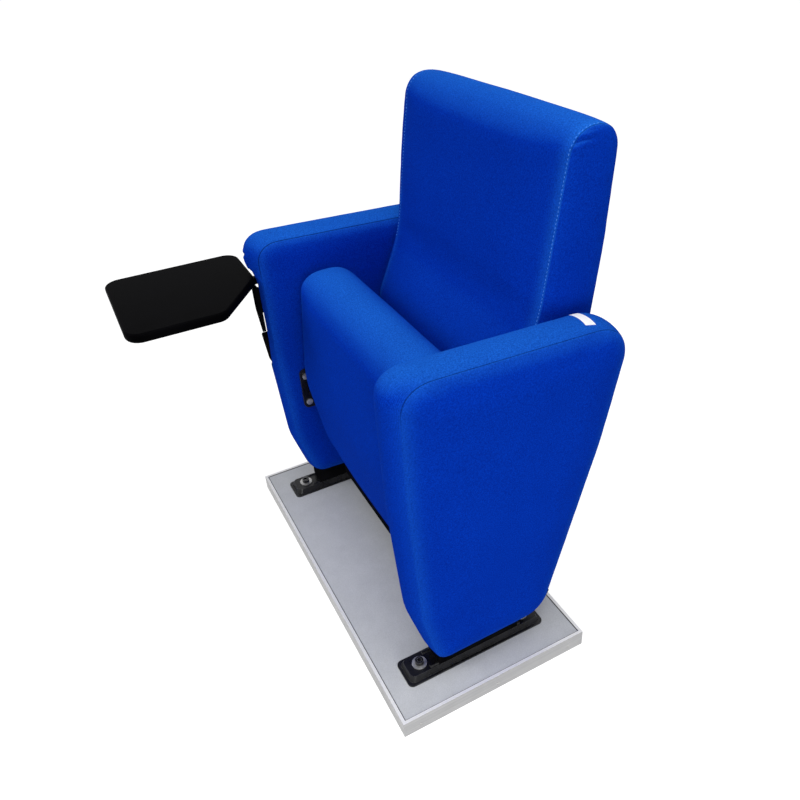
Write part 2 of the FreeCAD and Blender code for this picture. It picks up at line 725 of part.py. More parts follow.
def seat_hinge_blank():
    """Hub plate with its arm and the flange that screws to the seat board."""
    outer = HUB_X + HUB_GAUGE
    hub = x_rod(HUB_RADIUS, HUB_X, outer, PIVOT_Y, PIVOT_Z)
    arm = block(HUB_X, outer, PIVOT_Y, SEAT_BOARD_Y, PIVOT_Z - HUB_RADIUS, PIVOT_Z + HUB_RADIUS)
    flange = block(HUB_X - HUB_FLANGE_LENGTH, outer, SEAT_BOARD_Y - HUB_FLANGE_GAUGE, SEAT_BOARD_Y,
                   PIVOT_Z - HUB_FLANGE_HALF, PIVOT_Z + HUB_FLANGE_HALF)
    return hub.fuse([arm, flange]).removeSplitter()


def seat_hinge():
    """Seat hinge, bored for its bush and slotted for the stop stud."""
    outer = HUB_X + HUB_GAUGE
    bore = x_rod(bush_radius() + PRESS_PLAY, HUB_X, outer, PIVOT_Y, PIVOT_Z)
    return seat_hinge_blank().cut(bore).cut(arc_slot(HUB_X, outer))


def pivot_bush():
    """Flanged nylon bush in the seat hinge."""
    outer = HUB_X + HUB_GAUGE
    bush = x_rod(bush_radius(), HUB_X, outer, PIVOT_Y, PIVOT_Z)
    flange_radius = bush_radius() + BUSH_FLANGE
    bush = bush.fuse(x_rod(flange_radius, outer, outer + BUSH_FLANGE_GAUGE, PIVOT_Y, PIVOT_Z))
    return bush.cut(x_rod(PIN_RADIUS + RUN_PLAY, HUB_X, outer + BUSH_FLANGE_GAUGE, PIVOT_Y, PIVOT_Z))


def cartridge_body():
    """Envelope of the return spring's housing."""
    return x_rod(CARTRIDGE_RADIUS, HUB_X - CARTRIDGE_LENGTH, HUB_X, PIVOT_Y, PIVOT_Z)


def spring_cartridge():
    """Closed housing of the return spring, over the end of the pivot pin."""
    depth = PIN_REACH + STOP_PLAY
    return cartridge_body().cut(x_rod(PIN_RADIUS + RUN_PLAY, HUB_X - depth, HUB_X, PIVOT_Y, PIVOT_Z))


# Seat
def seat_corners():
    """Seam outline of the folded seat: lower end, rear (sitting) side, roll, underside."""
    return [
        (SEAT_FOOT_FRONT, SEAT_BOTTOM, 12),
        (SEAT_FOOT_REAR, SEAT_BOTTOM, 16),
        (SEAT_TOP_REAR, SEAT_TOP, SEAT_ROLL_RADIUS),
        (SEAT_TOP_FRONT, SEAT_TOP, SEAT_ROLL_RADIUS),
        (SEAT_BELLY, SEAT_BELLY_HEIGHT, 300),
        (SEAT_SHIN, SEAT_SHIN_HEIGHT, 200),
    ]


def seat_form(grow):
    """Outside of the upholstered seat."""
    corners = inset_corners(seat_corners(), -grow)
    return pillow(corners, 0, SEAT_HALF + grow, SEAT_CAP, SEAT_FACE_CROWN, SEAT_EDGE, SEAT_CROWN)


def seat_board():
    """Plywood board in the seat."""
    return block(-SEAT_BOARD_HALF, SEAT_BOARD_HALF, SEAT_BOARD_Y, SEAT_BOARD_Y + SEAT_BOARD_GAUGE,
                 SEAT_BOTTOM, SEAT_BOARD_HIGH)


def seat_cushion():
    """Foam and fabric round the seat board, cut out for the hinges on both ends."""
    cushion = seat_form(0).cut(seat_board())
    hub_hole = SLOT_RADIUS + STUD_RADIUS + HUB_HOLE_PLAY
    hinge = seat_hinge_blank().fuse(cartridge_body())
    hinge = hinge.fuse(x_rod(hub_hole, HUB_X, PANEL_FACE, PIVOT_Y, PIVOT_Z))
    return cushion.cut(hinge).cut(mirrored(hinge))


def seat_rear_cap():
    """Black moulding over the seat's rear edge, below the cushion when it is folded."""
    low = SEAT_BOTTOM - CAP_DEPTH
    high = SEAT_BOTTOM + CAP_RADIUS
    corners = [
        (SEAT_FOOT_FRONT - SEAT_CROWN, low, CAP_RADIUS),
        (SEAT_FOOT_REAR - CAP_RADIUS, low, CAP_RADIUS),
        (SEAT_FOOT_REAR, high, SECTION_RADIUS_FLOOR),
        (SEAT_FOOT_FRONT - SEAT_CROWN, high, SECTION_RADIUS_FLOOR),
    ]
    cap = side_slab(corners, -CAP_HALF, CAP_HALF).cut(seat_board())
    cap = cap.cut(seat_form(SOFT_GAP))
    return max(cap.Solids, key=lambda solid: solid.Volume)


# Tablet notch and hinge, on the sitter's right
def notch_edges():
    """Inner X and rear Y of the notch in the right panel."""
    return NOTCH_WIDTH - SIDE_X - PANEL_THICKNESS / 2, PANEL_FRONT + NOTCH_DEPTH


def notch():
    """Space cut from the right panel's outer front edge."""
    inner, rear = notch_edges()
    return block(-SIDE_X - PANEL_THICKNESS, inner, 2 * PANEL_FRONT, rear, NOTCH_BOTTOM, NOTCH_TOP)


def tablet_channel():
    """Black steel channel that lines the notch, open to the front and the outside."""
    inner, rear = notch_edges()
    outer = CHANNEL_SETBACK - SIDE_X - PANEL_THICKNESS / 2
    front = PANEL_FRONT + CHANNEL_SETBACK
    channel = block(outer, inner, front, rear, NOTCH_BOTTOM, NOTCH_TOP)
    return channel.cut(block(outer, inner - CHANNEL_GAUGE, front, rear - CHANNEL_GAUGE,
                             NOTCH_BOTTOM + CHANNEL_GAUGE, NOTCH_TOP - CHANNEL_GAUGE))


def channel_block():
    """Black moulding that fills the foot of the channel and leans out in front of it, under the hinge."""
    inner, rear = notch_edges()
    outer = CHANNEL_SETBACK - SIDE_X - PANEL_THICKNESS / 2
    low = NOTCH_BOTTOM + CHANNEL_GAUGE
    high = low + BLOCK_HEIGHT
    corners = [
        (PANEL_FRONT, low, SECTION_RADIUS_FLOOR),
        (rear - CHANNEL_GAUGE, low, SECTION_RADIUS_FLOOR),
        (rear - CHANNEL_GAUGE, high, BLOCK_CORNER),
        (PANEL_FRONT - BLOCK_PROUD, high, BLOCK_CORNER),
    ]
    return side_slab(corners, outer, inner - CHANNEL_GAUGE)


def tablet_cover():
    """Black cover in front of the hinge, on the channel's inner wall, that tapers to a point below."""
    inner = notch_edges()[0]
    front = knuckle_ends()[0] - SOFT_GAP - EAR_GAUGE
    wall = inner - CHANNEL_GAUGE
    corners = [
        (inner, COVER_TIP, SECTION_RADIUS_FLOOR),
        (inner, COVER_TOP, SECTION_RADIUS_FLOOR),
        (inner - COVER_WIDTH, COVER_TOP, COVER_CORNER),
        (inner - COVER_WIDTH, COVER_SHOULDER, COVER_WIDTH),
        (wall, COVER_TIP, SECTION_RADIUS_FLOOR / 2),
    ]
    wire = rounded_wire(corners, lambda x, z: Vector(x, front - COVER_DEPTH, z))
    plate = Part.Face(wire).extrude(Vector(0, COVER_DEPTH, 0))
    tab = block(wall, inner, front - COVER_DEPTH, PANEL_FRONT + CHANNEL_SETBACK, COVER_SHOULDER, COVER_TOP)
    return plate.fuse(tab).removeSplitter()


def flip_z():
    """Height of the flip axis, below the tablet."""
    return TABLET_TOP - TABLET_GAUGE - FLIP_DROP


def knuckle_ends():
    """Front and rear Y of the knuckle, centred on the swing stud."""
    return SWING_Y - KNUCKLE_LENGTH / 2, SWING_Y + KNUCKLE_LENGTH / 2


def tablet_bracket():
    """Fork fixed to the back of the channel: two ears, the web below them and the flip stop's post."""
    front, rear = knuckle_ends()
    z = flip_z()
    wall = notch_edges()[1] - CHANNEL_GAUGE
    web_top = z - WEB_DROP
    web_low = web_top - WEB_GAUGE
    web = block(FLIP_X - EAR_HALF, FLIP_X + LUG_REACH, front - SOFT_GAP - EAR_GAUGE, wall, web_low, web_top)
    front_ear = block(FLIP_X - EAR_HALF, FLIP_X + EAR_HALF, front - SOFT_GAP - EAR_GAUGE, front - SOFT_GAP,
                      web_low, z)
    front_ear = front_ear.fuse(rod(EAR_HALF, Vector(FLIP_X, front - SOFT_GAP - EAR_GAUGE, z),
                                   Vector(FLIP_X, front - SOFT_GAP, z)))
    rear_ear = block(FLIP_X - EAR_HALF, FLIP_X + EAR_HALF, rear + SOFT_GAP, wall, web_low, z)
    rear_ear = rear_ear.fuse(rod(EAR_HALF, Vector(FLIP_X, rear + SOFT_GAP, z), Vector(FLIP_X, wall, z)))
    post = block(FLIP_X + LUG_REACH - POST_GAUGE, FLIP_X + LUG_REACH, SWING_Y - LUG_DEPTH / 2,
                 SWING_Y + LUG_DEPTH / 2, web_low, z + LUG_RISE - SOFT_GAP)
    fork = web.fuse([front_ear, rear_ear, post]).removeSplitter()
    return fork.cut(rod(FLIP_PIN_RADIUS + PRESS_PLAY, Vector(FLIP_X, 2 * front, z), Vector(FLIP_X, wall, z)))


def flip_pin():
    """Pin of the flip axis, fixed in the fork."""
    front = knuckle_ends()[0]
    z = flip_z()
    wall = notch_edges()[1] - CHANNEL_GAUGE
    return rod(FLIP_PIN_RADIUS, Vector(FLIP_X, front - SOFT_GAP - EAR_GAUGE, z), Vector(FLIP_X, wall, z))


def neck_top():
    """Height of the knuckle's seat for the friction washer."""
    return TABLET_TOP - TABLET_GAUGE - ARM_GAUGE - FRICTION_GAUGE


def tablet_knuckle():
    """Cast knuckle: a barrel on the flip pin, a neck for the swing stud and the stop lug."""
    front, rear = knuckle_ends()
    z = flip_z()
    body = rod(BARREL_RADIUS, Vector(FLIP_X, front, z), Vector(FLIP_X, rear, z))
    neck = block(FLIP_X - BARREL_RADIUS, FLIP_X + BARREL_RADIUS, SWING_Y - NECK_DEPTH / 2,
                 SWING_Y + NECK_DEPTH / 2, z, neck_top())
    lug = block(FLIP_X, FLIP_X + LUG_REACH, SWING_Y - LUG_DEPTH / 2, SWING_Y + LUG_DEPTH / 2,
                z + LUG_RISE, z + LUG_RISE + LUG_GAUGE)
    body = body.fuse([neck, lug]).removeSplitter()
    body = body.cut(rod(FLIP_PIN_RADIUS + RUN_PLAY, Vector(FLIP_X, front, z), Vector(FLIP_X, rear, z)))
    return body.cut(rod(SWING_STUD_RADIUS + PRESS_PLAY, Vector(FLIP_X, SWING_Y, neck_top() - SWING_STUD_SEAT),
                        Vector(FLIP_X, SWING_Y, neck_top())))


def swing_stud():
    """Headed stud in the knuckle, square to the tablet, that holds the arm."""
    head_low = neck_top() + FRICTION_GAUGE + ARM_GAUGE + RUN_PLAY
    low = Vector(FLIP_X, SWING_Y, neck_top() - SWING_STUD_SEAT)
    seat = Vector(FLIP_X, SWING_Y, head_low)
    top = Vector(FLIP_X, SWING_Y, head_low + STUD_HEAD_HEIGHT)
    return rod(SWING_STUD_RADIUS, low, seat).fuse(rod(STUD_HEAD_RADIUS, seat, top))


def friction_washer():
    """Washer that keeps the swing stiff."""
    low = Vector(FLIP_X, SWING_Y, neck_top())
    high = Vector(FLIP_X, SWING_Y, neck_top() + FRICTION_GAUGE - RUN_PLAY)
    return rod(FRICTION_RADIUS, low, high).cut(rod(SWING_STUD_RADIUS + PRESS_PLAY, low, high))


def arm_ends():
    """Rear and front Y of the arm's broad pad under the tablet."""
    rear = TABLET_REAR - ARM_ROOT
    return rear, rear - ARM_LENGTH


def tablet_screw_places():
    """Plan position of the screws between arm and tablet."""
    rear, front = arm_ends()
    xs = (FLIP_X - ARM_HALF + TABLET_SCREW_MARGIN, FLIP_X + ARM_HALF - TABLET_SCREW_MARGIN)
    ys = (front + TABLET_SCREW_MARGIN, rear - TABLET_SCREW_MARGIN)
    return [(x, y) for x in xs for y in ys]


def tablet_arm():
    """Steel plate that turns on the swing stud and carries the tablet."""
    rear, front = arm_ends()
    eye = SWING_Y + ARM_EYE_RADIUS
    corners = [
        (FLIP_X - ARM_HALF, front, ARM_CORNER),
        (FLIP_X + ARM_HALF, front, ARM_CORNER),
        (FLIP_X + ARM_HALF, rear, ARM_CORNER),
        (FLIP_X + ARM_EYE_RADIUS, TABLET_REAR, ARM_CORNER),
        (FLIP_X + ARM_EYE_RADIUS, eye, ARM_EYE_RADIUS),
        (FLIP_X - ARM_EYE_RADIUS, eye, ARM_EYE_RADIUS),
        (FLIP_X - ARM_EYE_RADIUS, TABLET_REAR, ARM_CORNER),
        (FLIP_X - ARM_HALF, rear, ARM_CORNER),
    ]
    top = TABLET_TOP - TABLET_GAUGE
    arm = flat_slab(corners, top - ARM_GAUGE, top)
    arm = arm.cut(rod(SWING_STUD_RADIUS + RUN_PLAY, Vector(FLIP_X, SWING_Y, top - ARM_GAUGE),
                      Vector(FLIP_X, SWING_Y, top)))
    for x, y in tablet_screw_places():
        arm = arm.cut(rod(TABLET_SCREW_RADIUS + PRESS_PLAY, Vector(x, y, top - ARM_GAUGE), Vector(x, y, top)))
    return arm


def tablet_screws():
    """Flush screws from the arm into the tablet."""
    low = TABLET_TOP - TABLET_GAUGE - ARM_GAUGE
    high = TABLET_TOP - TABLET_GAUGE + TABLET_SCREW_DEPTH
    return Part.makeCompound([rod(TABLET_SCREW_RADIUS, Vector(x, y, low), Vector(x, y, high))
                              for x, y in tablet_screw_places()])


def tablet_board():
    """Moulded writing tablet with its inner rear corner cut away and rounded edges."""
    corners = [
        (TABLET_OUTER, TABLET_FRONT, TABLET_CORNER),
        (TABLET_INNER, TABLET_FRONT, TABLET_CORNER),
        (TABLET_INNER, TABLET_CUT_Y, TABLET_CUT_CORNER),
        (TABLET_CUT_X, TABLET_REAR, TABLET_CUT_CORNER),
        (TABLET_OUTER, TABLET_REAR, TABLET_CORNER),
    ]
    low = TABLET_TOP - TABLET_GAUGE
    board = flat_slab(corners, low, TABLET_TOP)

    def rim(height):
        level = [edge for edge in board.Edges if abs(edge.BoundBox.ZMin - height) < 1e-6]
        return [edge for edge in level if abs(edge.BoundBox.ZMax - height) < 1e-6]

    board = board.makeFillet(TABLET_TOP_ROUND, rim(TABLET_TOP))
    board = board.makeFillet(TABLET_BOTTOM_ROUND, rim(low))
    for x, y in tablet_screw_places():
        hole_end = Vector(x, y, low + TABLET_SCREW_DEPTH)
        board = board.cut(rod(TABLET_SCREW_RADIUS + PRESS_PLAY, Vector(x, y, low), hole_end))
    return board


def build():
    """Every piece by its name."""
    pieces = {"base_board": base_board()}
    pieces.update(base_trims())
    pieces["anchor_bolts"] = anchor_bolts()
    pieces["anchor_washers"] = anchor_washers()
    paired = {
        "foot": foot(),
        "upright": upright(),
        "panel_core": panel_core(),
        "panel_cushion": panel_cushion(),
        "panel_shoe": panel_shoe(),
        "back_bracket": back_bracket(),
        "pivot_plate": pivot_plate(),
        "pivot_pin": pivot_pin(),
        "seat_hinge": seat_hinge(),
        "pivot_bush": pivot_bush(),
        "spring_cartridge": spring_cartridge(),
    }
    for name, shape in paired.items():
        pieces["left_" + name] = shape
        pieces["right_" + name] = mirrored(shape)
    for name in ("right_panel_core", "right_panel_cushion"):
        pieces[name] = pieces[name].cut(notch())
    pieces["back_board"] = drilled_back(back_board(), BACK_BOLT_RADIUS + PRESS_PLAY)
    pieces["back_cushion"] = back_cushion()
    pieces["back_bolts"] = back_bolts()
    pieces["bracket_screws"] = bracket_screw_set()
    pieces["pivot_screws"] = pivot_screws()
    pieces["seat_board"] = seat_board()
    pieces["seat_cushion"] = seat_cushion()
    pieces["seat_rear_cap"] = seat_rear_cap()
    pieces["tablet_channel"] = tablet_channel()
    pieces["channel_block"] = channel_block()
    pieces["tablet_cover"] = tablet_cover()
    pieces["tablet_bracket"] = tablet_bracket()
    pieces["flip_pin"] = flip_pin()
    pieces["tablet_knuckle"] = tablet_knuckle()
    pieces["swing_stud"] = swing_stud()
    pieces["friction_washer"] = friction_washer()
    pieces["tablet_arm"] = tablet_arm()
    pieces["tablet_screws"] = tablet_screws()
    pieces["tablet_board"] = tablet_board()
    return pieces


os.makedirs("parts", exist_ok=True)
for node, piece in build().items():
    piece.exportStep(os.path.join("parts", node + ".step"))
    print(node, "solids", len(piece.Solids), "valid", piece.isValid(), "volume", round(piece.Volume))
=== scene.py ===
"""Looks for an upholstered tip-up chair with a folding writing tablet, on its display base.

Metres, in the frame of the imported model: +Z is up, the sitter faces -Y and +X is the sitter's left.
The four upholstered pieces are sewn covers: end faces joined to a boxing strip along a seam, swelled
by a short cloth simulation.  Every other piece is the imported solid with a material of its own.
"""
import json
import math

import bmesh
import bpy
import numpy as np
from mathutils import Matrix, Vector, noise
from mathutils.bvhtree import BVHTree


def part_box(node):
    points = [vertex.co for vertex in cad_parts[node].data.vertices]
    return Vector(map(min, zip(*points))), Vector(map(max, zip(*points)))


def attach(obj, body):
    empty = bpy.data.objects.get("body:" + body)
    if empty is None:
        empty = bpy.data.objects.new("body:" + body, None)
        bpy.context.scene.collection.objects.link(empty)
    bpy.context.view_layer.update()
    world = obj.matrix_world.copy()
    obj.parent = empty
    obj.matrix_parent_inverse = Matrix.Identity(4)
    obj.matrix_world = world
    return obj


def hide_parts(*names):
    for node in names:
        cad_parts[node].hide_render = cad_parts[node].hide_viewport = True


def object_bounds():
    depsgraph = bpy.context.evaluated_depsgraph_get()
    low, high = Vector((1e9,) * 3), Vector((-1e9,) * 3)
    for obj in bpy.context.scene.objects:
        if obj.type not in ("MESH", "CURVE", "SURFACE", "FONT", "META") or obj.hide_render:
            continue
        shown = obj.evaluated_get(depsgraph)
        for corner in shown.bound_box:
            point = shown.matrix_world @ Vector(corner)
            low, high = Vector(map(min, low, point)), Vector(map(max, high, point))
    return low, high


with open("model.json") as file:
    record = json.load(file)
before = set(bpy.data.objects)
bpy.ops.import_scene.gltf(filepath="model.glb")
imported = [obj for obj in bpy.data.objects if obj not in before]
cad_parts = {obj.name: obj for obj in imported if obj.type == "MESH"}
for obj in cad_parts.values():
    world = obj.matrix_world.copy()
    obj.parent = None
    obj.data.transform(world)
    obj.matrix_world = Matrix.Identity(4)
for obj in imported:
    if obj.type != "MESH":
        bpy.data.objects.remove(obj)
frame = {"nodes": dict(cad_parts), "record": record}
CAD_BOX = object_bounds()
MM = 0.001

# Camera, as fitted to the photograph (800 x 800)
IMAGE_SIZE = 800.0
CAMERA_PLACE = (1.0974154, -0.4558948, 1.2214559)
CAMERA_YAW = 62.343473
CAMERA_PITCH = -33.969595
CAMERA_ROLL = 2.537947
FOCAL_PIXELS = 740.890942
CENTRE_X = 444.511792
CENTRE_Y = 396.898816
SENSOR = 36.0

# Covers: outlines as (y, z, corner radius) in millimetres, counter-clockwise seen from +X
PANEL_OUTLINE = [
    (-90, 91, 30), (142, 83, 54), (242, 440, 400), (286, 665, 58), (-137, 677, 38), (-137, 440, 400),
    (-123, 205, 120),
]
PANEL_FACE_OUTLINE = [
    (-88, 71, 28), (137, 76, 56), (243, 440, 400), (291, 660, 58), (-124, 673, 46), (-124, 440, 400),
    (-114, 190, 120),
]
BACK_OUTLINE = [
    (98, 447, 38), (242, 447, 26), (282, 760, 300), (296, 948, 36), (212, 948, 44), (163, 655, 300),
    (104, 525, 80),
]
SEAT_OUTLINE = [
    (-22, 111, 12), (38, 111, 16), (52, 609, 50), (-68, 609, 44), (-91, 375, 300), (-64, 215, 200),
]

# The four corners of each outline between which its mesh has its sides
PANEL_MAIN = (0, 1, 3, 4)
BACK_MAIN = (0, 1, 3, 4)
SEAT_MAIN = (0, 1, 2, 3)

# Middle of the left panel, and distances of the seams from the middle of each piece
PANEL_X = 301.0
PANEL_SEAM = 29.5
BACK_SEAM = 250.0
SEAT_SEAM = 241.0

# End faces as half thickness, shoulder width and crown, and distances of their loops from the seam
LEFT_OUTSIDE_FORM = (46.0, 34.0, 3.0)
RIGHT_OUTSIDE_FORM = (40.5, 20.0, 2.0)
PANEL_INSIDE_FORM = (39.5, 20.0, 2.0)
BACK_FORM = (258.0, 14.0, 2.5)
SEAT_FORM = (248.0, 8.0, 1.5)
CROWN_REACH = 45.0
PANEL_RINGS = (0, 1.0, 3, 7, 12, 18, 24, 31)
BACK_RINGS = PANEL_RINGS[:5]
SEAT_RINGS = PANEL_RINGS[:4]

# Boxing strips as belly, and height and reach of the roll beside the seams
PANEL_STRIP = (4.0, 5.0, 10.0)
BACK_STRIP = (2.0, 8.0, 20.0)
SEAT_STRIP = (2.0, 4.0, 14.0)
LEAST_ROLL = 0.4
MESH_STEP = 9.0
SEAM_STEP = 1.0
WRAP_REACH = 13.0
LEAST_RADIUS = 4.0
ARC_ROOM = 0.48

# Seams: how deep and how hard they pull in, which also sets their painted shade, the puckers beside them,
# and how far and how strongly a painted highlight lightens the taut cloth beside them
SEAM_DEPTH = 0.7
RIGHT_SEAM_PULL = 1.5
SLACK_SEAM = 0.25
ARM_SEAM_RISE = (560.0, 660.0)
BACK_SLACK_SEAM = 0.12
BACK_SEAM_RISE = (890.0, 925.0)
SEAT_SEAM_PULL = 0.5
PUCKER_PITCH = 11.0
PUCKER_HEIGHT = 0.5
PUCKER_REACH = 16.0
WAVE_HEIGHT = 0.7
WAVES_PER_METRE = 9.0
# Painted highlight beside the seams: its reach, and its strength on each piece's faces and strip
HIGHLIGHT_REACH = 16.0
PANEL_FACE_HIGHLIGHT = 0.55
PANEL_STRIP_HIGHLIGHT = 0.25
BACK_FACE_HIGHLIGHT = 0.1
BACK_STRIP_HIGHLIGHT = 1.0
SEAT_HIGHLIGHT = 0.3
PANEL_SEED = 3.1
BACK_SEED = 7.7
SEAT_SEED = 12.3

# How the covers depart from straight: the right arm leans out over the tablet's hinge and is pressed
# flat beside it, the far side of the back leans out, and the seat narrows to its folded foot
ARM_LEAN = (7.0, 11.5, 5.0)
ARM_LEAN_RISE = (605, 690)
ARM_BULGE_RISE = (590, 635)
ARM_FRONT = (20, 130)
ARM_OUTSIDE = (270, 330)
HINGE_PRESS = 4.5
HINGE_PRESS_RISE = (390, 460)
HINGE_PRESS_FALL = (580, 625)
HINGE_PRESS_OUTSIDE = (262, 296)
BACK_LEAN = (16.0, 4.0)
BACK_LEAN_RISE = (540, 870)
BACK_LEAN_OUTSIDE = (0, 240)
SEAT_TAPER = 0.026
SEAT_TAPER_RISE = (130, 260)

# Notch in the right panel's front edge, where the tablet's hinge sits
NOTCH_LOW = (-360.0, -200.0, 385.0)
NOTCH_HIGH = (-294.0, -89.0, 618.0)

# Folds as lines of points in millimetres: above the notch, and across the near end of the back
NOTCH_FOLD = [(-329, -140, 640), (-314, -144, 645), (-305, -144, 626), (-306, -144, 612)]
BACK_FOLD = [(261, 206, 933), (261, 220, 933), (261, 234, 932), (261, 251, 931)]
NOTCH_FOLD_DEPTH = 2.0
BACK_FOLD_DEPTH = 1.5
FOLD_WIDTH = 3.2
FOLD_FADE = 16.0
FOLD_LIP = 0.4
FOLD_LIP_PLACE = 2.2
FOLD_SHADE = 0.4
FOLD_STEPS = 4
FOLD_MESH_REACH = (22.0, 14.0)

# Cloth: the simulation, and how far each cover may swell
SIM_FRAMES = 20
SIM_PRESSURE = 4.0
SIM_QUALITY = 5
CLOTH_STIFFNESS = 20.0
CLOTH_SHEAR = 8.0
CLOTH_BENDING = 2.0
PANEL_SWELL = 4.0
BACK_SWELL = 6.0
SEAT_SWELL = 3.0
HELD_PANEL = 0.25
HELD_BACK = 0.3
BACK_FREE_RISE = (640.0, 700.0)

# Stitches beside the back's seams
STITCH_PITCH = 5.4
STITCH_LENGTH = 3.4
STITCH_RADIUS = 0.5
STITCH_OFFSET = 2.5
STITCH_PROFILE = ((0.0, 0.35), (0.2, 0.9), (0.5, 1.1), (0.8, 0.9), (1.0, 0.35))
STITCH_SIDES = 6
STITCH_SAMPLES = (40, 400)
STITCH_LOWEST = 640.0
STITCH_REARMOST = 260.0

# Rivets that hold the base's edge trim
RIVET_RADIUS = 3.0
RIVET_RISE = 1.1
RIVET_HEIGHT = 13.0
RIVET_PITCH = 160.0
RIVET_FRONT_PITCH = 240.0
RIVET_PROFILE = ((1.0, -0.2), (1.0, 0.35), (0.8, 0.75), (0.45, 0.97), (0.12, 1.0))
RIVET_SIDES = 16

# Dark joint between the board's face and the trim's flange, measured from the board's edge
GROOVE_INSET = 6.2
GROOVE_EDGE = 0.3

# Edges sharper than these angles stay sharp
HARD_ANGLE = 50.0
CLOTH_ANGLE = 70.0

# Tag on the left arm: corners on the arm's top
TAG_CORNERS = [(273.0, 204.0), (275.5, 219.0), (320.0, 220.0), (316.5, 203.0)]
TAG_GAUGE = 0.5
TAG_BED = 0.1
TAG_STEPS = 8

# Lamps as name, place, target, size, power and spread; strengths of the world and of the floor
LAMPS = [
    ("key", (1.7, -0.3, 0.3), (0.3, 0.0, 0.33), 0.9, 10.5, 180.0),
    ("overhead", (0.6, -0.1, 3.0), (0.0, 0.0, 0.5), 2.5, 48.0, 180.0),
    ("front", (-0.4, -2.2, 1.5), (0.0, -0.1, 0.0), 1.6, 2.8, 50.0),
]
WORLD_LIGHT = 0.38
WORLD_SEEN = 1.0
FLOOR_GREY = 0.38
FLOOR_SEEN = 0.87
FLOOR_RADIUS = 40.0
FLOOR_DROP = 0.0005


# Outlines
def unit(y, z):
    """Direction of a plane vector."""
    length = math.hypot(y, z)
    return y / length, z / length


def inset_outline(corners, inset):
    """Move every edge of an outline inwards, with its corner radii."""
    moved = []
    count = len(corners)
    for index, (y, z, radius) in enumerate(corners):
        before = corners[index - 1]
        after = corners[(index + 1) % count]
        ay, az = unit(y - before[0], z - before[1])
        by, bz = unit(after[0] - y, after[1] - z)
        turn = ay * bz - az * by
        along = inset * (1 - (ay * by + az * bz)) / turn
        new_radius = max(radius - inset if turn > 0 else radius + inset, LEAST_RADIUS)
        moved.append((y - az * inset - ay * along, z + ay * inset - az * along, new_radius))
    return moved


def corner_arc(before, here, after, pieces=24):
    """Points of the arc that rounds one corner."""
    ay, az = unit(here[0] - before[0], here[1] - before[1])
    by, bz = unit(after[0] - here[0], after[1] - here[1])
    turn = math.acos(max(-1.0, min(1.0, ay * by + az * bz)))
    room = ARC_ROOM * min(math.dist(before[:2], here[:2]), math.dist(here[:2], after[:2]))
    cut = min(here[2] * math.tan(turn / 2), room)
    radius = cut / math.tan(turn / 2)
    side = 1.0 if ay * bz - az * by > 0 else -1.0
    centre_y = here[0] - ay * cut - az * radius * side
    centre_z = here[1] - az * cut + ay * radius * side
    points = []
    for step in range(pieces + 1):
        angle = turn * step / pieces
        points.append((
            centre_y + radius * side * (az * math.cos(angle) + ay * math.sin(angle) * side),
            centre_z + radius * side * (-ay * math.cos(angle) + az * math.sin(angle) * side),
        ))
    return points


def resampled(points, count):
    """The polyline's start and count - 1 more points, evenly spaced, without its end."""
    line = np.array(points)
    lengths = np.concatenate([[0.0], np.cumsum(np.linalg.norm(np.diff(line, axis=0), axis=1))])
    marks = np.linspace(0.0, lengths[-1], count + 1)[:-1]
    return np.stack([np.interp(marks, lengths, line[:, axis]) for axis in range(2)], axis=1)


def ring(corners, main, counts):
    """One closed loop of an outline: four sides between the middles of its main corners' arcs."""
    total = len(corners)
    arcs = [corner_arc(corners[i - 1], corners[i], corners[(i + 1) % total]) for i in range(total)]
    sides = []
    for place, start in enumerate(main):
        end = main[(place + 1) % 4]
        middle = len(arcs[start]) // 2
        line = list(arcs[start][middle:])
        index = (start + 1) % total
        while index != end:
            line += arcs[index]
            index = (index + 1) % total
        line += arcs[end][:middle + 1]
        sides.append(resampled(line, counts[place % 2]))
    return np.concatenate(sides)


def coons_patch(loop, across, along):
    """Grid of points inside a loop of four sides, which starts at the grid's first corner."""
    low = loop[:across + 1]
    right = loop[across:across + along + 1]
    high = loop[across + along:2 * across + along + 1][::-1]
    left = np.concatenate([loop[2 * across + along:], loop[:1]])[::-1]
    u = np.linspace(0, 1, across + 1)[None, :, None]
    v = np.linspace(0, 1, along + 1)[:, None, None]
    ruled = (1 - v) * low[None] + v * high[None] + (1 - u) * left[:, None] + u * right[:, None]
    corners = ((1 - u) * (1 - v) * low[0] + u * (1 - v) * low[-1] + (1 - u) * v * high[0] + u * v * high[-1])
    return ruled - corners


# Sewn covers
def face_rise(inset, seam_x, half, edge, crown):
    """Distance from the middle of the piece to its end face, by distance from the seam."""
    share = np.clip(inset / edge, 0, 1)
    rounded = seam_x + (half - crown - seam_x) * (1 - (1 - share) ** 2)
    return rounded + crown * (1 - np.exp(-inset / CROWN_REACH))


def rise(values, low, high):
    """0 below low, 1 above high and smooth between."""
    share = np.clip((values - low) / (high - low), 0, 1)
    return share * share * (3 - 2 * share)


def rise_mm(values, span):
    """The same for lengths in metres and a span in millimetres."""
    return rise(values, span[0] * MM, span[1] * MM)


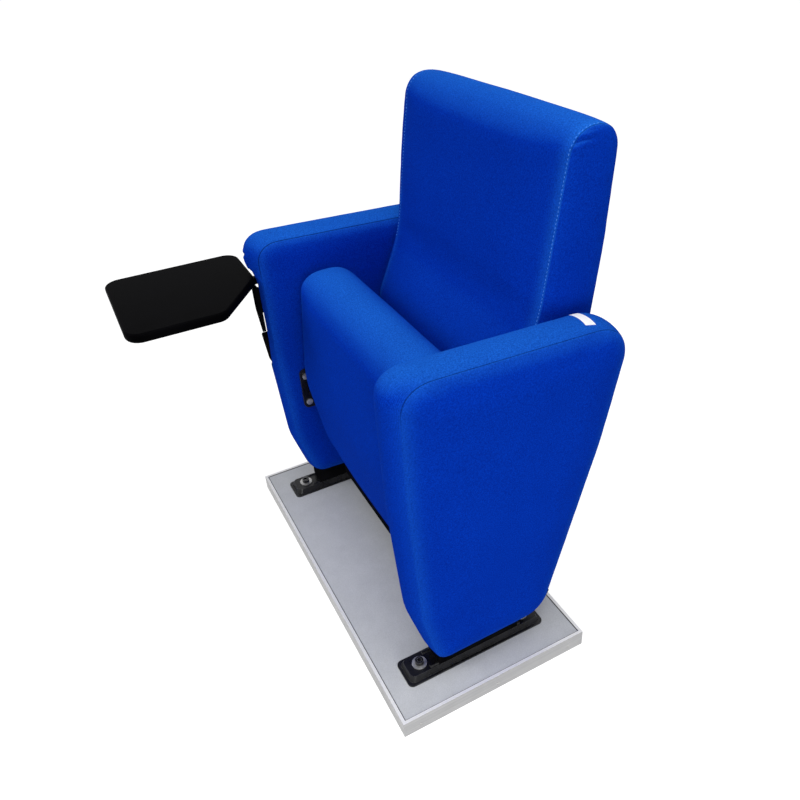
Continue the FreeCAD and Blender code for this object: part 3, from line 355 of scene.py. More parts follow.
def cover_mesh(name, outlines, main, centre, seam_x, end_forms, strip_form, rings):
    """Closed cover: two end faces and the boxing strip between their seams, with weave coordinates.

    outlines gives each end's seam; the strip follows that of the -X end and wraps in to the other.
    end_forms gives each end's half thickness, shoulder width and crown, and strip_form the strip's
    belly, and the height and reach of the roll beside its seams, which is fullest at the front.
    """
    belly, roll, roll_reach = strip_form
    coarse = 8
    base = ring(outlines[1], main, (coarse, coarse))
    perimeter = np.linalg.norm(np.roll(base, -1, axis=0) - base, axis=1)
    across = max(6, int(round(perimeter[:coarse].sum() / MESH_STEP)))
    along = max(8, int(round(perimeter[coarse:2 * coarse].sum() / MESH_STEP)))
    count = 2 * (across + along)
    end_loops = {}
    for side, corners in outlines.items():
        end_loops[side] = [ring(inset_outline(corners, inset) if inset else corners, main, (across, along))
                           for inset in rings]
    width = 2 * (seam_x - SEAM_STEP)
    rows = max(3, int(round(width / MESH_STEP)))
    strip = np.linspace(seam_x - SEAM_STEP, SEAM_STEP - seam_x, rows + 1)
    wide = end_loops[-1][0]
    outward = np.roll(wide, -1, axis=0) - np.roll(wide, 1, axis=0)
    outward = np.stack([outward[:, 1], -outward[:, 0]], axis=1)
    outward /= np.linalg.norm(outward, axis=1)[:, None]
    fullness = LEAST_ROLL + (1 - LEAST_ROLL) * np.clip(-outward[:, 0], 0, 1)
    lengths = np.concatenate([[0.0], np.cumsum(np.linalg.norm(np.roll(wide, -1, axis=0) - wide, axis=1))])

    points = []
    seam_points = []
    faces = []
    weave = []

    def add_loop(x, loop):
        start = sum(len(chunk) for chunk in points)
        points.append(np.column_stack([np.full(len(loop), 0.0) + x, loop]))
        return start

    ends = {}
    for side in (1, -1):
        form = end_forms[side]
        loops = end_loops[side]
        inner = coons_patch(loops[-1], across, along)[1:-1, 1:-1].reshape(-1, 2)
        reach = rings[-1] + np.min(np.linalg.norm(inner[:, None] - loops[-1][None], axis=2), axis=1)
        starts = [add_loop(side * face_rise(np.array(inset, float), seam_x, *form), loop)
                  for inset, loop in zip(rings, loops)]
        middle = add_loop(side * face_rise(reach, seam_x, *form), inner)
        ends[side] = starts[0]
        seam_points += range(starts[0], starts[0] + count)

        def face(indices):
            faces.append(indices if side > 0 else indices[::-1])
            weave.append(None)

        for low, high in zip(starts[:-1], starts[1:]):
            for i in range(count):
                j = (i + 1) % count
                face([low + i, low + j, high + j, high + i])

        def grid_index(row, column):
            if row == 0:
                return starts[-1] + column
            if row == along:
                return starts[-1] + 2 * across + along - column
            if column == across:
                return starts[-1] + across + row
            if column == 0:
                return starts[-1] + (count - row) % count
            return middle + (row - 1) * (across - 1) + column - 1

        for row in range(along):
            for column in range(across):
                face([grid_index(row, column), grid_index(row, column + 1),
                      grid_index(row + 1, column + 1), grid_index(row + 1, column)])
    levels = [ends[1]]
    heights = [seam_x]
    for x in strip:
        share = abs(x) / seam_x
        rolled = roll * (1 - math.exp((abs(x) - seam_x) / roll_reach)) * fullness
        loop = wide + outward * (belly * (1 - share ** 2) + rolled)[:, None]
        for side in (1, -1):
            loop = loop + (end_loops[side][0] - wide) * math.exp((side * x - seam_x) / WRAP_REACH)
        levels.append(add_loop(x, loop))
        heights.append(x)
    levels.append(ends[-1])
    heights.append(-seam_x)
    for low, high, x_low, x_high in zip(levels[:-1], levels[1:], heights[:-1], heights[1:]):
        for i in range(count):
            j = (i + 1) % count
            faces.append([low + i, high + i, high + j, low + j])
            here = lengths[i]
            after = lengths[i + 1]
            weave.append([(here, x_low), (here, x_high), (after, x_high), (after, x_low)])
    coordinates = np.concatenate(points)
    coordinates[:, 0] += centre
    mesh = bpy.data.meshes.new(name)
    mesh.from_pydata((coordinates * MM).tolist(), [], faces)
    layer = mesh.uv_layers.new(name="weave")
    for polygon, across_strip in zip(mesh.polygons, weave):
        for place, loop_index in enumerate(polygon.loop_indices):
            if across_strip:
                layer.data[loop_index].uv = (across_strip[place][0] * MM, across_strip[place][1] * MM)
            else:
                point = coordinates[mesh.loops[loop_index].vertex_index]
                layer.data[loop_index].uv = (point[1] * MM, point[2] * MM)
    piece = bpy.data.objects.new(name, mesh)
    bpy.context.scene.collection.objects.link(piece)
    return piece, seam_points


def positions(mesh):
    """A mesh's points as an array."""
    found = np.zeros(len(mesh.vertices) * 3)
    mesh.vertices.foreach_get("co", found)
    return found.reshape(-1, 3)


def set_positions(mesh, points):
    """Write an array back to a mesh's points."""
    mesh.vertices.foreach_set("co", points.ravel())
    mesh.update()


def swell(piece, pinned, cap, keep=None):
    """Blow the cover up against its seams for a short while, and keep each point within its cap."""
    scene = bpy.context.scene
    group = piece.vertex_groups.new(name="seams")
    group.add(list(pinned), 1.0, "REPLACE")
    cloth = piece.modifiers.new("cloth", "CLOTH")
    settings = cloth.settings
    settings.vertex_group_mass = group.name
    settings.use_pressure = True
    settings.uniform_pressure_force = SIM_PRESSURE
    settings.effector_weights.gravity = 0.0
    settings.quality = SIM_QUALITY
    settings.tension_stiffness = CLOTH_STIFFNESS
    settings.compression_stiffness = CLOTH_STIFFNESS
    settings.shear_stiffness = CLOTH_SHEAR
    settings.bending_stiffness = CLOTH_BENDING
    cloth.collision_settings.use_collision = False
    cloth.collision_settings.use_self_collision = False
    cloth.point_cache.frame_start = 1
    cloth.point_cache.frame_end = SIM_FRAMES
    for step in range(1, SIM_FRAMES + 1):
        scene.frame_set(step)
    swollen = positions(piece.evaluated_get(bpy.context.evaluated_depsgraph_get()).data)
    piece.modifiers.remove(cloth)
    piece.vertex_groups.remove(group)
    scene.frame_set(1)
    rest = positions(piece.data)
    moved = swollen - rest
    length = np.linalg.norm(moved, axis=1)
    limit = np.full(len(rest), cap * MM)
    if keep is not None:
        limit *= keep(rest / MM)
    limit = np.maximum(limit, 1e-7)
    share = limit * np.tanh(length / limit) / np.maximum(length, 1e-9)
    set_positions(piece.data, rest + moved * share[:, None])


def sew(piece, seam_points, seed, drawn, painted_highlight_share):
    """Pull the seams in, pucker the cloth beside them, and mark the seams for painted shade and the taut
    cloth beside them for a painted highlight.
    """
    mesh = piece.data
    bm = bmesh.new()
    bm.from_mesh(mesh)
    bm.normal_update()
    bm.verts.ensure_lookup_table()
    normals = np.array([vertex.normal for vertex in bm.verts])
    bm.free()
    points = positions(mesh)
    seam = np.zeros(len(points))
    sewn = points[list(seam_points)]
    # The seam mark sets how far each seam pulls in and how much painted shade the material gives it
    seam[list(seam_points)] = drawn(sewn / MM)
    reach = np.array([np.min(np.linalg.norm(sewn - point, axis=1)) for point in points])
    fade = np.exp(-(reach / (PUCKER_REACH * MM)) ** 2)
    across = Vector((seed, 0, 0))
    along = Vector((0, seed, 0))
    pucker = np.array([noise.noise(Vector(point) / (PUCKER_PITCH * MM) + across) for point in points])
    wave = np.array([noise.noise(Vector(point) * WAVES_PER_METRE + along) for point in points])
    move = fade * pucker * PUCKER_HEIGHT + (1 - fade) * wave * WAVE_HEIGHT - seam * SEAM_DEPTH
    set_positions(mesh, points + normals * move[:, None] * MM)
    # Painted highlight on the cloth beside the seams, fading with distance from them
    painted_seam_highlight = painted_highlight_share(points / MM) * np.exp(-(reach / (HIGHLIGHT_REACH * MM)) ** 2)
    for mark, values in (("seam", seam), ("painted_seam_highlight", painted_seam_highlight)):
        layer = mesh.attributes.new(mark, "FLOAT", "POINT")
        layer.data.foreach_set("value", values.astype(np.float32))


def applied(piece):
    """Make the modifiers' result the piece's own mesh."""
    depsgraph = bpy.context.evaluated_depsgraph_get()
    mesh = bpy.data.meshes.new_from_object(piece.evaluated_get(depsgraph), preserve_all_data_layers=True,
                                           depsgraph=depsgraph)
    old = piece.data
    piece.modifiers.clear()
    piece.data = mesh
    bpy.data.meshes.remove(old)


def smooth(piece, angle=HARD_ANGLE):
    """Smooth shading, with edges sharper than the angle left sharp."""
    piece.data.shade_smooth()
    bm = bmesh.new()
    bm.from_mesh(piece.data)
    for edge in bm.edges:
        if len(edge.link_faces) == 2 and edge.calc_face_angle() > math.radians(angle):
            edge.smooth = False
    bm.to_mesh(piece.data)
    bm.free()


def fine(piece):
    """One level of subdivision, applied."""
    modifier = piece.modifiers.new("fine", "SUBSURF")
    modifier.levels = 1
    modifier.render_levels = 1
    applied(piece)
    smooth(piece, CLOTH_ANGLE)


def fold(piece, line, depth):
    """Press a fold into a piece along a line of points, fading at its last, and give it painted shade like a
    seam.
    """
    tree = surface_of(piece)
    marks = []
    for start, end in zip(line[:-1], line[1:]):
        for step in range(FOLD_STEPS):
            marks.append(Vector(start).lerp(Vector(end), step / FOLD_STEPS) * MM)
    marks.append(Vector(line[-1]) * MM)
    line = np.array([tree.find_nearest(mark)[0] for mark in marks])
    bm = bmesh.new()
    bm.from_mesh(piece.data)
    for reach in FOLD_MESH_REACH:
        middles = np.array([edge.verts[0].co + edge.verts[1].co for edge in bm.edges]) / 2
        gaps = distance_to(middles, line) / MM
        edges = [edge for edge, gap in zip(bm.edges, gaps) if gap < reach]
        bmesh.ops.subdivide_edges(bm, edges=edges, cuts=1, use_grid_fill=True)
    bm.normal_update()
    seam = bm.verts.layers.float["seam"]
    places = np.array([vertex.co for vertex in bm.verts])
    gaps = distance_to(places, line) / MM
    fades = rise(np.linalg.norm(places - line[-1], axis=1) / MM, 0.0, FOLD_FADE)
    for vertex, gap, fade in zip(bm.verts, gaps, fades):
        if gap > 4 * FOLD_WIDTH:
            continue
        pressed = fade * math.exp(-(gap / FOLD_WIDTH) ** 2)
        swollen = fade * math.exp(-((gap - FOLD_LIP_PLACE * FOLD_WIDTH) / FOLD_WIDTH) ** 2)
        vertex.co += vertex.normal * MM * depth * (FOLD_LIP * swollen - pressed)
        # Painted shade in the fold's crease, added to the seam mark
        vertex[seam] = max(vertex[seam], FOLD_SHADE * depth * pressed ** 2)
    bm.to_mesh(piece.data)
    bm.free()
    smooth(piece, CLOTH_ANGLE)


def distance_to(places, line):
    """Distance from each of many points to a line of points."""
    nearest = np.full(len(places), np.inf)
    for start, end in zip(line[:-1], line[1:]):
        along = end - start
        share = np.clip((places - start) @ along / np.dot(along, along), 0.0, 1.0)
        nearest = np.minimum(nearest, np.linalg.norm(places - start - share[:, None] * along, axis=1))
    return nearest


def cut_box(piece, low, high):
    """Cut a box, in millimetres, out of a piece."""
    mesh = bpy.data.meshes.new("cutter")
    bm = bmesh.new()
    bmesh.ops.create_cube(bm, size=1.0)
    for vertex in bm.verts:
        vertex.co = Vector([(low[i] if vertex.co[i] < 0 else high[i]) * MM for i in range(3)])
    bm.to_mesh(mesh)
    bm.free()
    cutter = bpy.data.objects.new("cutter", mesh)
    bpy.context.scene.collection.objects.link(cutter)
    modifier = piece.modifiers.new("cut", "BOOLEAN")
    modifier.operation = "DIFFERENCE"
    modifier.solver = "EXACT"
    modifier.object = cutter
    applied(piece)
    bpy.data.objects.remove(cutter)
    bpy.data.meshes.remove(mesh)
    smooth(piece)


def panel_cover(side):
    """Cover of one side panel; side is 1 for the left one."""
    name = "left_panel_cover" if side > 0 else "right_panel_cover"
    outline = PANEL_FACE_OUTLINE if side > 0 else PANEL_OUTLINE
    form = LEFT_OUTSIDE_FORM if side > 0 else RIGHT_OUTSIDE_FORM
    pull = 1.0 if side > 0 else RIGHT_SEAM_PULL
    piece, seams = cover_mesh(name, {side: outline, -side: PANEL_OUTLINE}, PANEL_MAIN, side * PANEL_X,
                              PANEL_SEAM, {side: form, -side: PANEL_INSIDE_FORM}, PANEL_STRIP, PANEL_RINGS)

    def keep(points):
        """Full swell on the left panel's outside, little where the seat and the tablet move past."""
        return np.where(points[:, 0] < PANEL_X, HELD_PANEL, 1.0)

    def drawn(points):
        """Tight along the arm's top, slack down the front and under the panel."""
        return pull * (SLACK_SEAM + (1 - SLACK_SEAM) * rise(points[:, 2], *ARM_SEAM_RISE))

    def painted_highlight_share(points):
        """Painted highlight, most over the faces' shoulders."""
        on_face = np.abs(points[:, 0] - side * PANEL_X) > PANEL_SEAM
        return np.where(on_face, PANEL_FACE_HIGHLIGHT, PANEL_STRIP_HIGHLIGHT)

    swell(piece, seams, PANEL_SWELL, keep)
    sew(piece, seams, PANEL_SEED * side, drawn, painted_highlight_share)
    fine(piece)
    if side < 0:
        lean_out(piece)
        fold(piece, NOTCH_FOLD, NOTCH_FOLD_DEPTH)
        cut_box(piece, NOTCH_LOW, NOTCH_HIGH)
    return piece


def lean_out(piece):
    """The right arm leans out a little over the hinge, and is pressed flat beside it."""
    points = positions(piece.data)
    heights = points[:, 2]
    share = rise_mm(heights, ARM_LEAN_RISE)
    front = rise_mm(-points[:, 1], ARM_FRONT)
    outer = rise_mm(-points[:, 0], ARM_OUTSIDE)
    beside = rise_mm(heights, HINGE_PRESS_RISE) * (1 - rise_mm(heights, HINGE_PRESS_FALL))
    points[:, 0] -= ARM_LEAN[0] * MM * share * outer
    points[:, 1] -= ARM_LEAN[1] * MM * rise_mm(heights, ARM_BULGE_RISE) * front * outer
    pressed = rise_mm(-points[:, 0], HINGE_PRESS_OUTSIDE)
    points[:, 1] += HINGE_PRESS * MM * beside * front * pressed
    points[:, 2] += ARM_LEAN[2] * MM * share * outer
    set_positions(piece.data, points)


def back_cover():
    """Cover of the back."""
    piece, seams = cover_mesh("back_cover", {1: BACK_OUTLINE, -1: BACK_OUTLINE}, BACK_MAIN, 0.0, BACK_SEAM,
                              {1: BACK_FORM, -1: BACK_FORM}, BACK_STRIP, BACK_RINGS)

    def keep(points):
        """Free above the arms, held between them."""
        low, high = BACK_FREE_RISE
        return np.clip((points[:, 2] - low) / (high - low), HELD_BACK, 1.0)

    def drawn(points):
        """Tight around the top corners, slack below."""
        return BACK_SLACK_SEAM + (1 - BACK_SLACK_SEAM) * rise(points[:, 2], *BACK_SEAM_RISE)

    def painted_highlight_share(points):
        """Painted highlight over the strip, and hardly on the end faces."""
        return np.where(np.abs(points[:, 0]) > BACK_SEAM, BACK_FACE_HIGHLIGHT, BACK_STRIP_HIGHLIGHT)

    swell(piece, seams, BACK_SWELL, keep)
    points = positions(piece.data)
    far = rise_mm(points[:, 2], BACK_LEAN_RISE) * rise_mm(-points[:, 0], BACK_LEAN_OUTSIDE)
    points[:, 0] -= BACK_LEAN[0] * MM * far
    points[:, 1] -= BACK_LEAN[1] * MM * far
    set_positions(piece.data, points)
    sew(piece, seams, BACK_SEED, drawn, painted_highlight_share)
    fine(piece)
    fold(piece, BACK_FOLD, BACK_FOLD_DEPTH)
    return piece


def seat_cover():
    """Cover of the folded seat."""
    piece, seams = cover_mesh("seat_cover", {1: SEAT_OUTLINE, -1: SEAT_OUTLINE}, SEAT_MAIN, 0.0, SEAT_SEAM,
                              {1: SEAT_FORM, -1: SEAT_FORM}, SEAT_STRIP, SEAT_RINGS)
    swell(piece, seams, SEAT_SWELL)
    points = positions(piece.data)
    points[:, 0] *= 1 - SEAT_TAPER * (1 - rise_mm(points[:, 2], SEAT_TAPER_RISE))
    set_positions(piece.data, points)
    # The seat's painted highlight beside its seams is the same all round
    sew(piece, seams, SEAT_SEED, lambda points: SEAT_SEAM_PULL, lambda points: SEAT_HIGHLIGHT)
    fine(piece)
    return piece


# Camera, light and floor
def place_camera():
    """Camera at the photograph's viewpoint."""
    yaw = math.radians(CAMERA_YAW)
    pitch = math.radians(CAMERA_PITCH)
    roll = math.radians(CAMERA_ROLL)
    right = Vector((math.cos(yaw), math.sin(yaw), 0.0))
    ahead = Vector((-math.sin(yaw) * math.cos(pitch), math.cos(yaw) * math.cos(pitch), math.sin(pitch)))
    up = right.cross(ahead)
    across = math.cos(roll) * right - math.sin(roll) * up
    down = -math.sin(roll) * right - math.cos(roll) * up
    data = bpy.data.cameras.new("camera")
    data.sensor_fit = "HORIZONTAL"
    data.sensor_width = SENSOR
    data.lens = FOCAL_PIXELS * SENSOR / IMAGE_SIZE
    data.shift_x = (IMAGE_SIZE / 2 - CENTRE_X) / IMAGE_SIZE
    data.shift_y = (CENTRE_Y - IMAGE_SIZE / 2) / IMAGE_SIZE
    data.clip_start = 0.05
    data.clip_end = 100.0
    camera = bpy.data.objects.new("camera", data)
    turn = Matrix((across, -down, -ahead)).transposed().to_4x4()
    camera.matrix_world = Matrix.Translation(Vector(CAMERA_PLACE)) @ turn
    bpy.context.scene.collection.objects.link(camera)
    bpy.context.scene.camera = camera


def area_light(name, place, target, size, power, spread):
    """Soft square lamp aimed at a point."""
    data = bpy.data.lights.new(name, "AREA")
    data.shape = "SQUARE"
    data.size = size
    data.energy = power
    data.spread = math.radians(spread)
    lamp = bpy.data.objects.new(name, data)
    lamp.location = place
    lamp.rotation_mode = "QUATERNION"
    lamp.rotation_quaternion = (Vector(target) - Vector(place)).to_track_quat("-Z", "Y")
    bpy.context.scene.collection.objects.link(lamp)


def seen_background(nodes, links):
    """1 for camera, glossy and transmission rays, 0 for the rest."""
    path = nodes.new("ShaderNodeLightPath")
    first = nodes.new("ShaderNodeMath")
    first.operation = "MAXIMUM"
    second = nodes.new("ShaderNodeMath")
    second.operation = "MAXIMUM"
    links.new(path.outputs["Is Camera Ray"], first.inputs[0])
    links.new(path.outputs["Is Glossy Ray"], first.inputs[1])
    links.new(first.outputs[0], second.inputs[0])
    links.new(path.outputs["Is Transmission Ray"], second.inputs[1])
    return second.outputs[0]


def light_world():
    """Even white surroundings that light the object less than they are seen."""
    world = bpy.data.worlds.new("studio")
    world.use_nodes = True
    nodes = world.node_tree.nodes
    links = world.node_tree.links
    background = nodes["Background"]
    background.inputs["Color"].default_value = (1.0, 1.0, 1.0, 1.0)
    strength = nodes.new("ShaderNodeMapRange")
    strength.inputs["To Min"].default_value = WORLD_LIGHT
    strength.inputs["To Max"].default_value = WORLD_SEEN
    links.new(seen_background(nodes, links), strength.inputs["Value"])
    links.new(strength.outputs["Result"], background.inputs["Strength"])
    bpy.context.scene.world = world


def lay_floor():
    """Pale floor that keeps the shadow."""
    bm = bmesh.new()
    bmesh.ops.create_circle(bm, cap_ends=True, segments=96, radius=FLOOR_RADIUS)
    mesh = bpy.data.meshes.new("floor")
    bm.to_mesh(mesh)
    bm.free()
    floor = bpy.data.objects.new("floor", mesh)
    floor.location.z = -FLOOR_DROP
    bpy.context.scene.collection.objects.link(floor)
    material = bpy.data.materials.new("floor")
    material.use_nodes = True
    nodes = material.node_tree.nodes
    links = material.node_tree.links
    nodes.clear()
    diffuse = nodes.new("ShaderNodeBsdfDiffuse")
    diffuse.inputs["Color"].default_value = (FLOOR_GREY, FLOOR_GREY, FLOOR_GREY, 1.0)
    glow = nodes.new("ShaderNodeEmission")
    lift = nodes.new("ShaderNodeMapRange")
    lift.inputs["To Min"].default_value = 0.0
    lift.inputs["To Max"].default_value = FLOOR_SEEN
    both = nodes.new("ShaderNodeAddShader")
    output = nodes.new("ShaderNodeOutputMaterial")
    links.new(seen_background(nodes, links), lift.inputs["Value"])
    links.new(lift.outputs["Result"], glow.inputs["Strength"])
    links.new(diffuse.outputs[0], both.inputs[0])
    links.new(glow.outputs[0], both.inputs[1])
    links.new(both.outputs[0], output.inputs["Surface"])
    mesh.materials.append(material)


# Materials
class Shader:
    """A Principled material and short ways to add nodes to it."""

    def __init__(self, name, **sockets):
        self.material = bpy.data.materials.new(name)
        self.material.use_nodes = True
        self.nodes = self.material.node_tree.nodes
        self.links = self.material.node_tree.links
        self.principled = self.nodes["Principled BSDF"]
        for socket, value in sockets.items():
            self.principled.inputs[socket.replace("_", " ")].default_value = value

    def node(self, kind, links=None, **values):
        """A new node with its settings, socket values and links."""
        made = self.nodes.new("ShaderNode" + kind)
        for key, value in values.items():
            if hasattr(made, key):
                setattr(made, key, value)
            else:
                made.inputs[key.replace("_", " ")].default_value = value
        for key, source in (links or {}).items():
            self.links.new(source, made.inputs[key])
        return made

    def place(self):
        """Object coordinates, which are the frame's own."""
        return self.node("TexCoord").outputs["Object"]

    def stretched(self, scale):
        """Object coordinates scaled differently along each axis."""
        return self.node("Mapping", {"Vector": self.place()}, Scale=scale).outputs["Vector"]

    def noise(self, scale, detail=3.0, rough=0.5, vector=None):
        """Smooth noise, in object coordinates unless others are given."""
        made = self.node("TexNoise", {"Vector": vector or self.place()}, Scale=scale, Detail=detail,
                         Roughness=rough)
        return made.outputs["Fac"]

    def ramp(self, source, low, high, from_low=0.3, from_high=0.7):
        """Colours between low and high as the source goes from one value to another."""
        made = self.node("ValToRGB", {"Fac": source})
        made.color_ramp.elements[0].position = from_low
        made.color_ramp.elements[1].position = from_high
        made.color_ramp.elements[0].color = (*low, 1.0)
        made.color_ramp.elements[1].color = (*high, 1.0)
        return made.outputs["Color"]

    def span(self, source, low, high, from_low=0.3, from_high=0.7):
        """Numbers between low and high as the source goes from one value to another."""
        made = self.node("MapRange", {"Value": source})
        made.inputs["From Min"].default_value = from_low
        made.inputs["From Max"].default_value = from_high
        made.inputs["To Min"].default_value = low
        made.inputs["To Max"].default_value = high
        return made.outputs["Result"]

    def blend(self, factor, first, second, kind="MIX"):
        """Mix of two colours, which may be values or sockets."""
        made = self.node("Mix", data_type="RGBA", blend_type=kind)
        for place, source in ((0, factor), (6, first), (7, second)):
            if isinstance(source, (float, tuple)):
                made.inputs[place].default_value = source
            else:
                self.links.new(source, made.inputs[place])
        return made.outputs[2]

    def math(self, operation, first, second):
        """One step of arithmetic on values or sockets."""
        made = self.node("Math", operation=operation)
        for place, source in enumerate((first, second)):
            if isinstance(source, float):
                made.inputs[place].default_value = source
            else:
                self.links.new(source, made.inputs[place])
        return made.outputs[0]

    def upward(self):
        """How far the surface faces up, from -1 to 1."""
        normal = self.node("TexCoord").outputs["Normal"]
        return self.node("SeparateXYZ", {"Vector": normal}).outputs["Z"]

    def edges(self, radius):
        """About 1 on outside and inside edges, 0 on flat faces."""
        rounded = self.node("Bevel", samples=6, Radius=radius).outputs["Normal"]
        flat = self.node("NewGeometry").outputs["Normal"]
        match = self.node("VectorMath", operation="DOT_PRODUCT")
        self.links.new(rounded, match.inputs[0])
        self.links.new(flat, match.inputs[1])
        return self.span(match.outputs["Value"], 1.0, 0.0, 0.75, 0.99)

    def finish(self, colour, rough, bump, strength=0.3, distance=0.001):
        """Link colour, roughness and bump, and return the material."""
        bumped = self.node("Bump", {"Height": bump}, Strength=strength, Distance=distance).outputs["Normal"]
        for source, socket in ((colour, "Base Color"), (rough, "Roughness"), (bumped, "Normal")):
            self.links.new(source, self.principled.inputs[socket])
        return self.material


def fabric():
    """Tight blue woven cloth: crossed threads, speckle, slow tone changes, painted highlights where it faces
    up and beside the seams, and painted shade along seams and folds.
    """
    shader = Shader("blue_fabric", Sheen_Weight=0.02, Sheen_Roughness=0.4, Sheen_Tint=(0.02, 0.3, 1.0, 1.0),
                    Specular_IOR_Level=0.008)
    threads = shader.node("UVMap", uv_map="weave").outputs["UV"]
    ways = [shader.node("TexWave", {"Vector": threads}, bands_direction=axis, Scale=196.0, Distortion=0.6,
                        Detail=1.0, Detail_Scale=2.0).outputs["Fac"] for axis in "XY"]
    cross = shader.math("MULTIPLY", *ways)
    speckle = shader.noise(450.0, 2.0, 0.6)
    slow = shader.noise(7.0, 3.0, 0.5)
    colour = shader.ramp(cross, (0.0006, 0.026, 0.385), (0.0018, 0.052, 0.580), 0.0, 0.6)
    flecks = shader.ramp(speckle, (0.62, 0.67, 0.76), (1.38, 1.33, 1.22), 0.3, 0.7)
    tone = shader.ramp(slow, (0.93, 0.93, 0.95), (1.06, 1.06, 1.04), 0.3, 0.7)
    # Painted highlight: faces that look up are lighter
    painted_top_light = shader.span(shader.upward(), 0.0, 0.5, 0.35, 1.0)
    colour = shader.blend(painted_top_light, colour, (0.016, 0.165, 0.620, 1.0))
    # Painted highlight beside the seams, from the mark that sew leaves
    painted_highlight_share = shader.node("Attribute", attribute_name="painted_seam_highlight").outputs["Fac"]
    colour = shader.blend(shader.span(painted_highlight_share, 0.0, 0.4, 0.0, 1.0), colour, (0.016, 0.165, 0.720, 1.0))
    colour = shader.blend(1.0, colour, flecks, "MULTIPLY")
    colour = shader.blend(1.0, colour, tone, "MULTIPLY")
    # Painted shade along the seams and in the folds, from the seam mark
    seam = shader.node("Attribute", attribute_name="seam").outputs["Fac"]
    colour = shader.blend(shader.span(seam, 0.0, 0.8, 0.4, 0.95), colour, (0.0004, 0.006, 0.05, 1.0))
    rough = shader.span(speckle, 0.78, 0.95)
    height = shader.math("ADD", cross, shader.math("MULTIPLY", speckle, 0.8))
    return shader.finish(colour, rough, height, 0.55, 0.0006)


def thread():
    """Lighter twisted sewing thread."""
    shader = Shader("thread", Sheen_Weight=0.05, Sheen_Roughness=0.4, Specular_IOR_Level=0.1)
    twist = shader.noise(900.0, 2.0)
    colour = shader.ramp(twist, (0.02, 0.20, 0.75), (0.12, 0.36, 0.92))
    return shader.finish(colour, shader.span(twist, 0.5, 0.75), twist)


def tag_cloth():
    """White woven tape."""
    shader = Shader("tag_cloth", Sheen_Weight=0.1)
    weave = shader.noise(700.0, 2.0, vector=shader.stretched((1.0, 3.0, 1.0)))
    colour = shader.ramp(weave, (0.93, 0.93, 0.93), (0.99, 0.99, 0.99))
    return shader.finish(colour, shader.span(weave, 0.6, 0.8), weave, 0.2)


def coated_steel():
    """Black powder coat with a fine orange peel, worn a little paler in places, with painted highlights
    along its edges.
    """
    shader = Shader("black_steel", Specular_IOR_Level=0.26)
    peel = shader.noise(650.0, 3.0, 0.55)
    wear = shader.noise(38.0, 5.0, 0.65)
    colour = shader.ramp(wear, (0.004, 0.004, 0.005), (0.011, 0.011, 0.013), 0.35, 0.75)
    # Painted highlight along outside and inside edges
    colour = shader.blend(shader.edges(0.001), colour, (0.11, 0.112, 0.118, 1.0))
    return shader.finish(colour, shader.span(wear, 0.22, 0.36), peel, 0.14, 0.0004)


def tablet_plastic():
    """Black moulded plastic: fine leather grain with rubbed, glossier patches."""
    shader = Shader("tablet_plastic", Specular_IOR_Level=0.004)
    cells = shader.node("TexVoronoi", {"Vector": shader.place()}, Scale=900.0).outputs["Distance"]
    rubbed = shader.noise(11.0, 4.0, 0.6)
    colour = shader.ramp(rubbed, (0.0010, 0.0010, 0.0013), (0.0026, 0.0026, 0.0032))
    return shader.finish(colour, shader.span(rubbed, 0.30, 0.44), cells, 0.12, 0.0003)


def moulded_plastic():
    """Matt black moulding with a spark texture."""
    shader = Shader("black_plastic", Specular_IOR_Level=0.0)
    spark = shader.noise(1100.0, 2.0, 0.6)
    slow = shader.noise(24.0, 3.0)
    colour = shader.ramp(slow, (0.003, 0.003, 0.0035), (0.007, 0.007, 0.008))
    return shader.finish(colour, shader.span(spark, 0.48, 0.66), spark, 0.25, 0.0004)


def zinc():
    """Bright zinc plating with a cloudy passivated film, with painted highlights along its edges."""
    shader = Shader("zinc", Metallic=0.8)
    film = shader.noise(120.0, 4.0, 0.6)
    colour = shader.ramp(film, (0.30, 0.30, 0.30), (0.52, 0.52, 0.51))
    # Painted highlight along outside and inside edges
    colour = shader.blend(shader.edges(0.0008), colour, (0.85, 0.85, 0.85, 1.0))
    return shader.finish(colour, shader.span(film, 0.3, 0.5), shader.noise(800.0), 0.08, 0.0003)


def black_bolt():
    """Black oxide with bright rubbed spots, and painted highlights along its edges."""
    shader = Shader("black_bolt", Metallic=0.85)
    rub = shader.noise(260.0, 4.0, 0.6)
    colour = shader.ramp(rub, (0.02, 0.02, 0.022), (0.09, 0.09, 0.09), 0.5, 0.8)
    # Painted highlight along outside and inside edges
    colour = shader.blend(shader.edges(0.0009), colour, (0.5, 0.5, 0.51, 1.0))
    return shader.finish(colour, shader.span(rub, 0.3, 0.5), rub, 0.1, 0.0003)


def aluminium(along):
    """Satin anodised extrusion with drawing lines along its length, painted lighter where it faces up; along
    is 0 for X, 1 for Y.
    """
    shader = Shader("aluminium_" + "xy"[along], Metallic=0.2, Specular_IOR_Level=0.2)
    scale = (4.0, 420.0, 420.0) if along == 0 else (420.0, 4.0, 420.0)
    lines = shader.noise(1.0, 3.0, 0.6, shader.stretched(scale))
    smears = shader.noise(14.0, 3.0)
    colour = shader.ramp(lines, (0.46, 0.46, 0.465), (0.60, 0.60, 0.605), 0.25, 0.75)
    smeared = shader.ramp(smears, (0.85, 0.85, 0.85), (1.0, 1.0, 1.0))
    colour = shader.blend(1.0, colour, smeared, "MULTIPLY")
    # Painted highlight: faces that look up are lighter
    colour = shader.blend(shader.span(shader.upward(), 0.0, 0.9, 0.2, 0.8), colour, (0.88, 0.88, 0.88, 1.0))
    return shader.finish(colour, shader.span(lines, 0.38, 0.52), lines, 0.08, 0.0003)


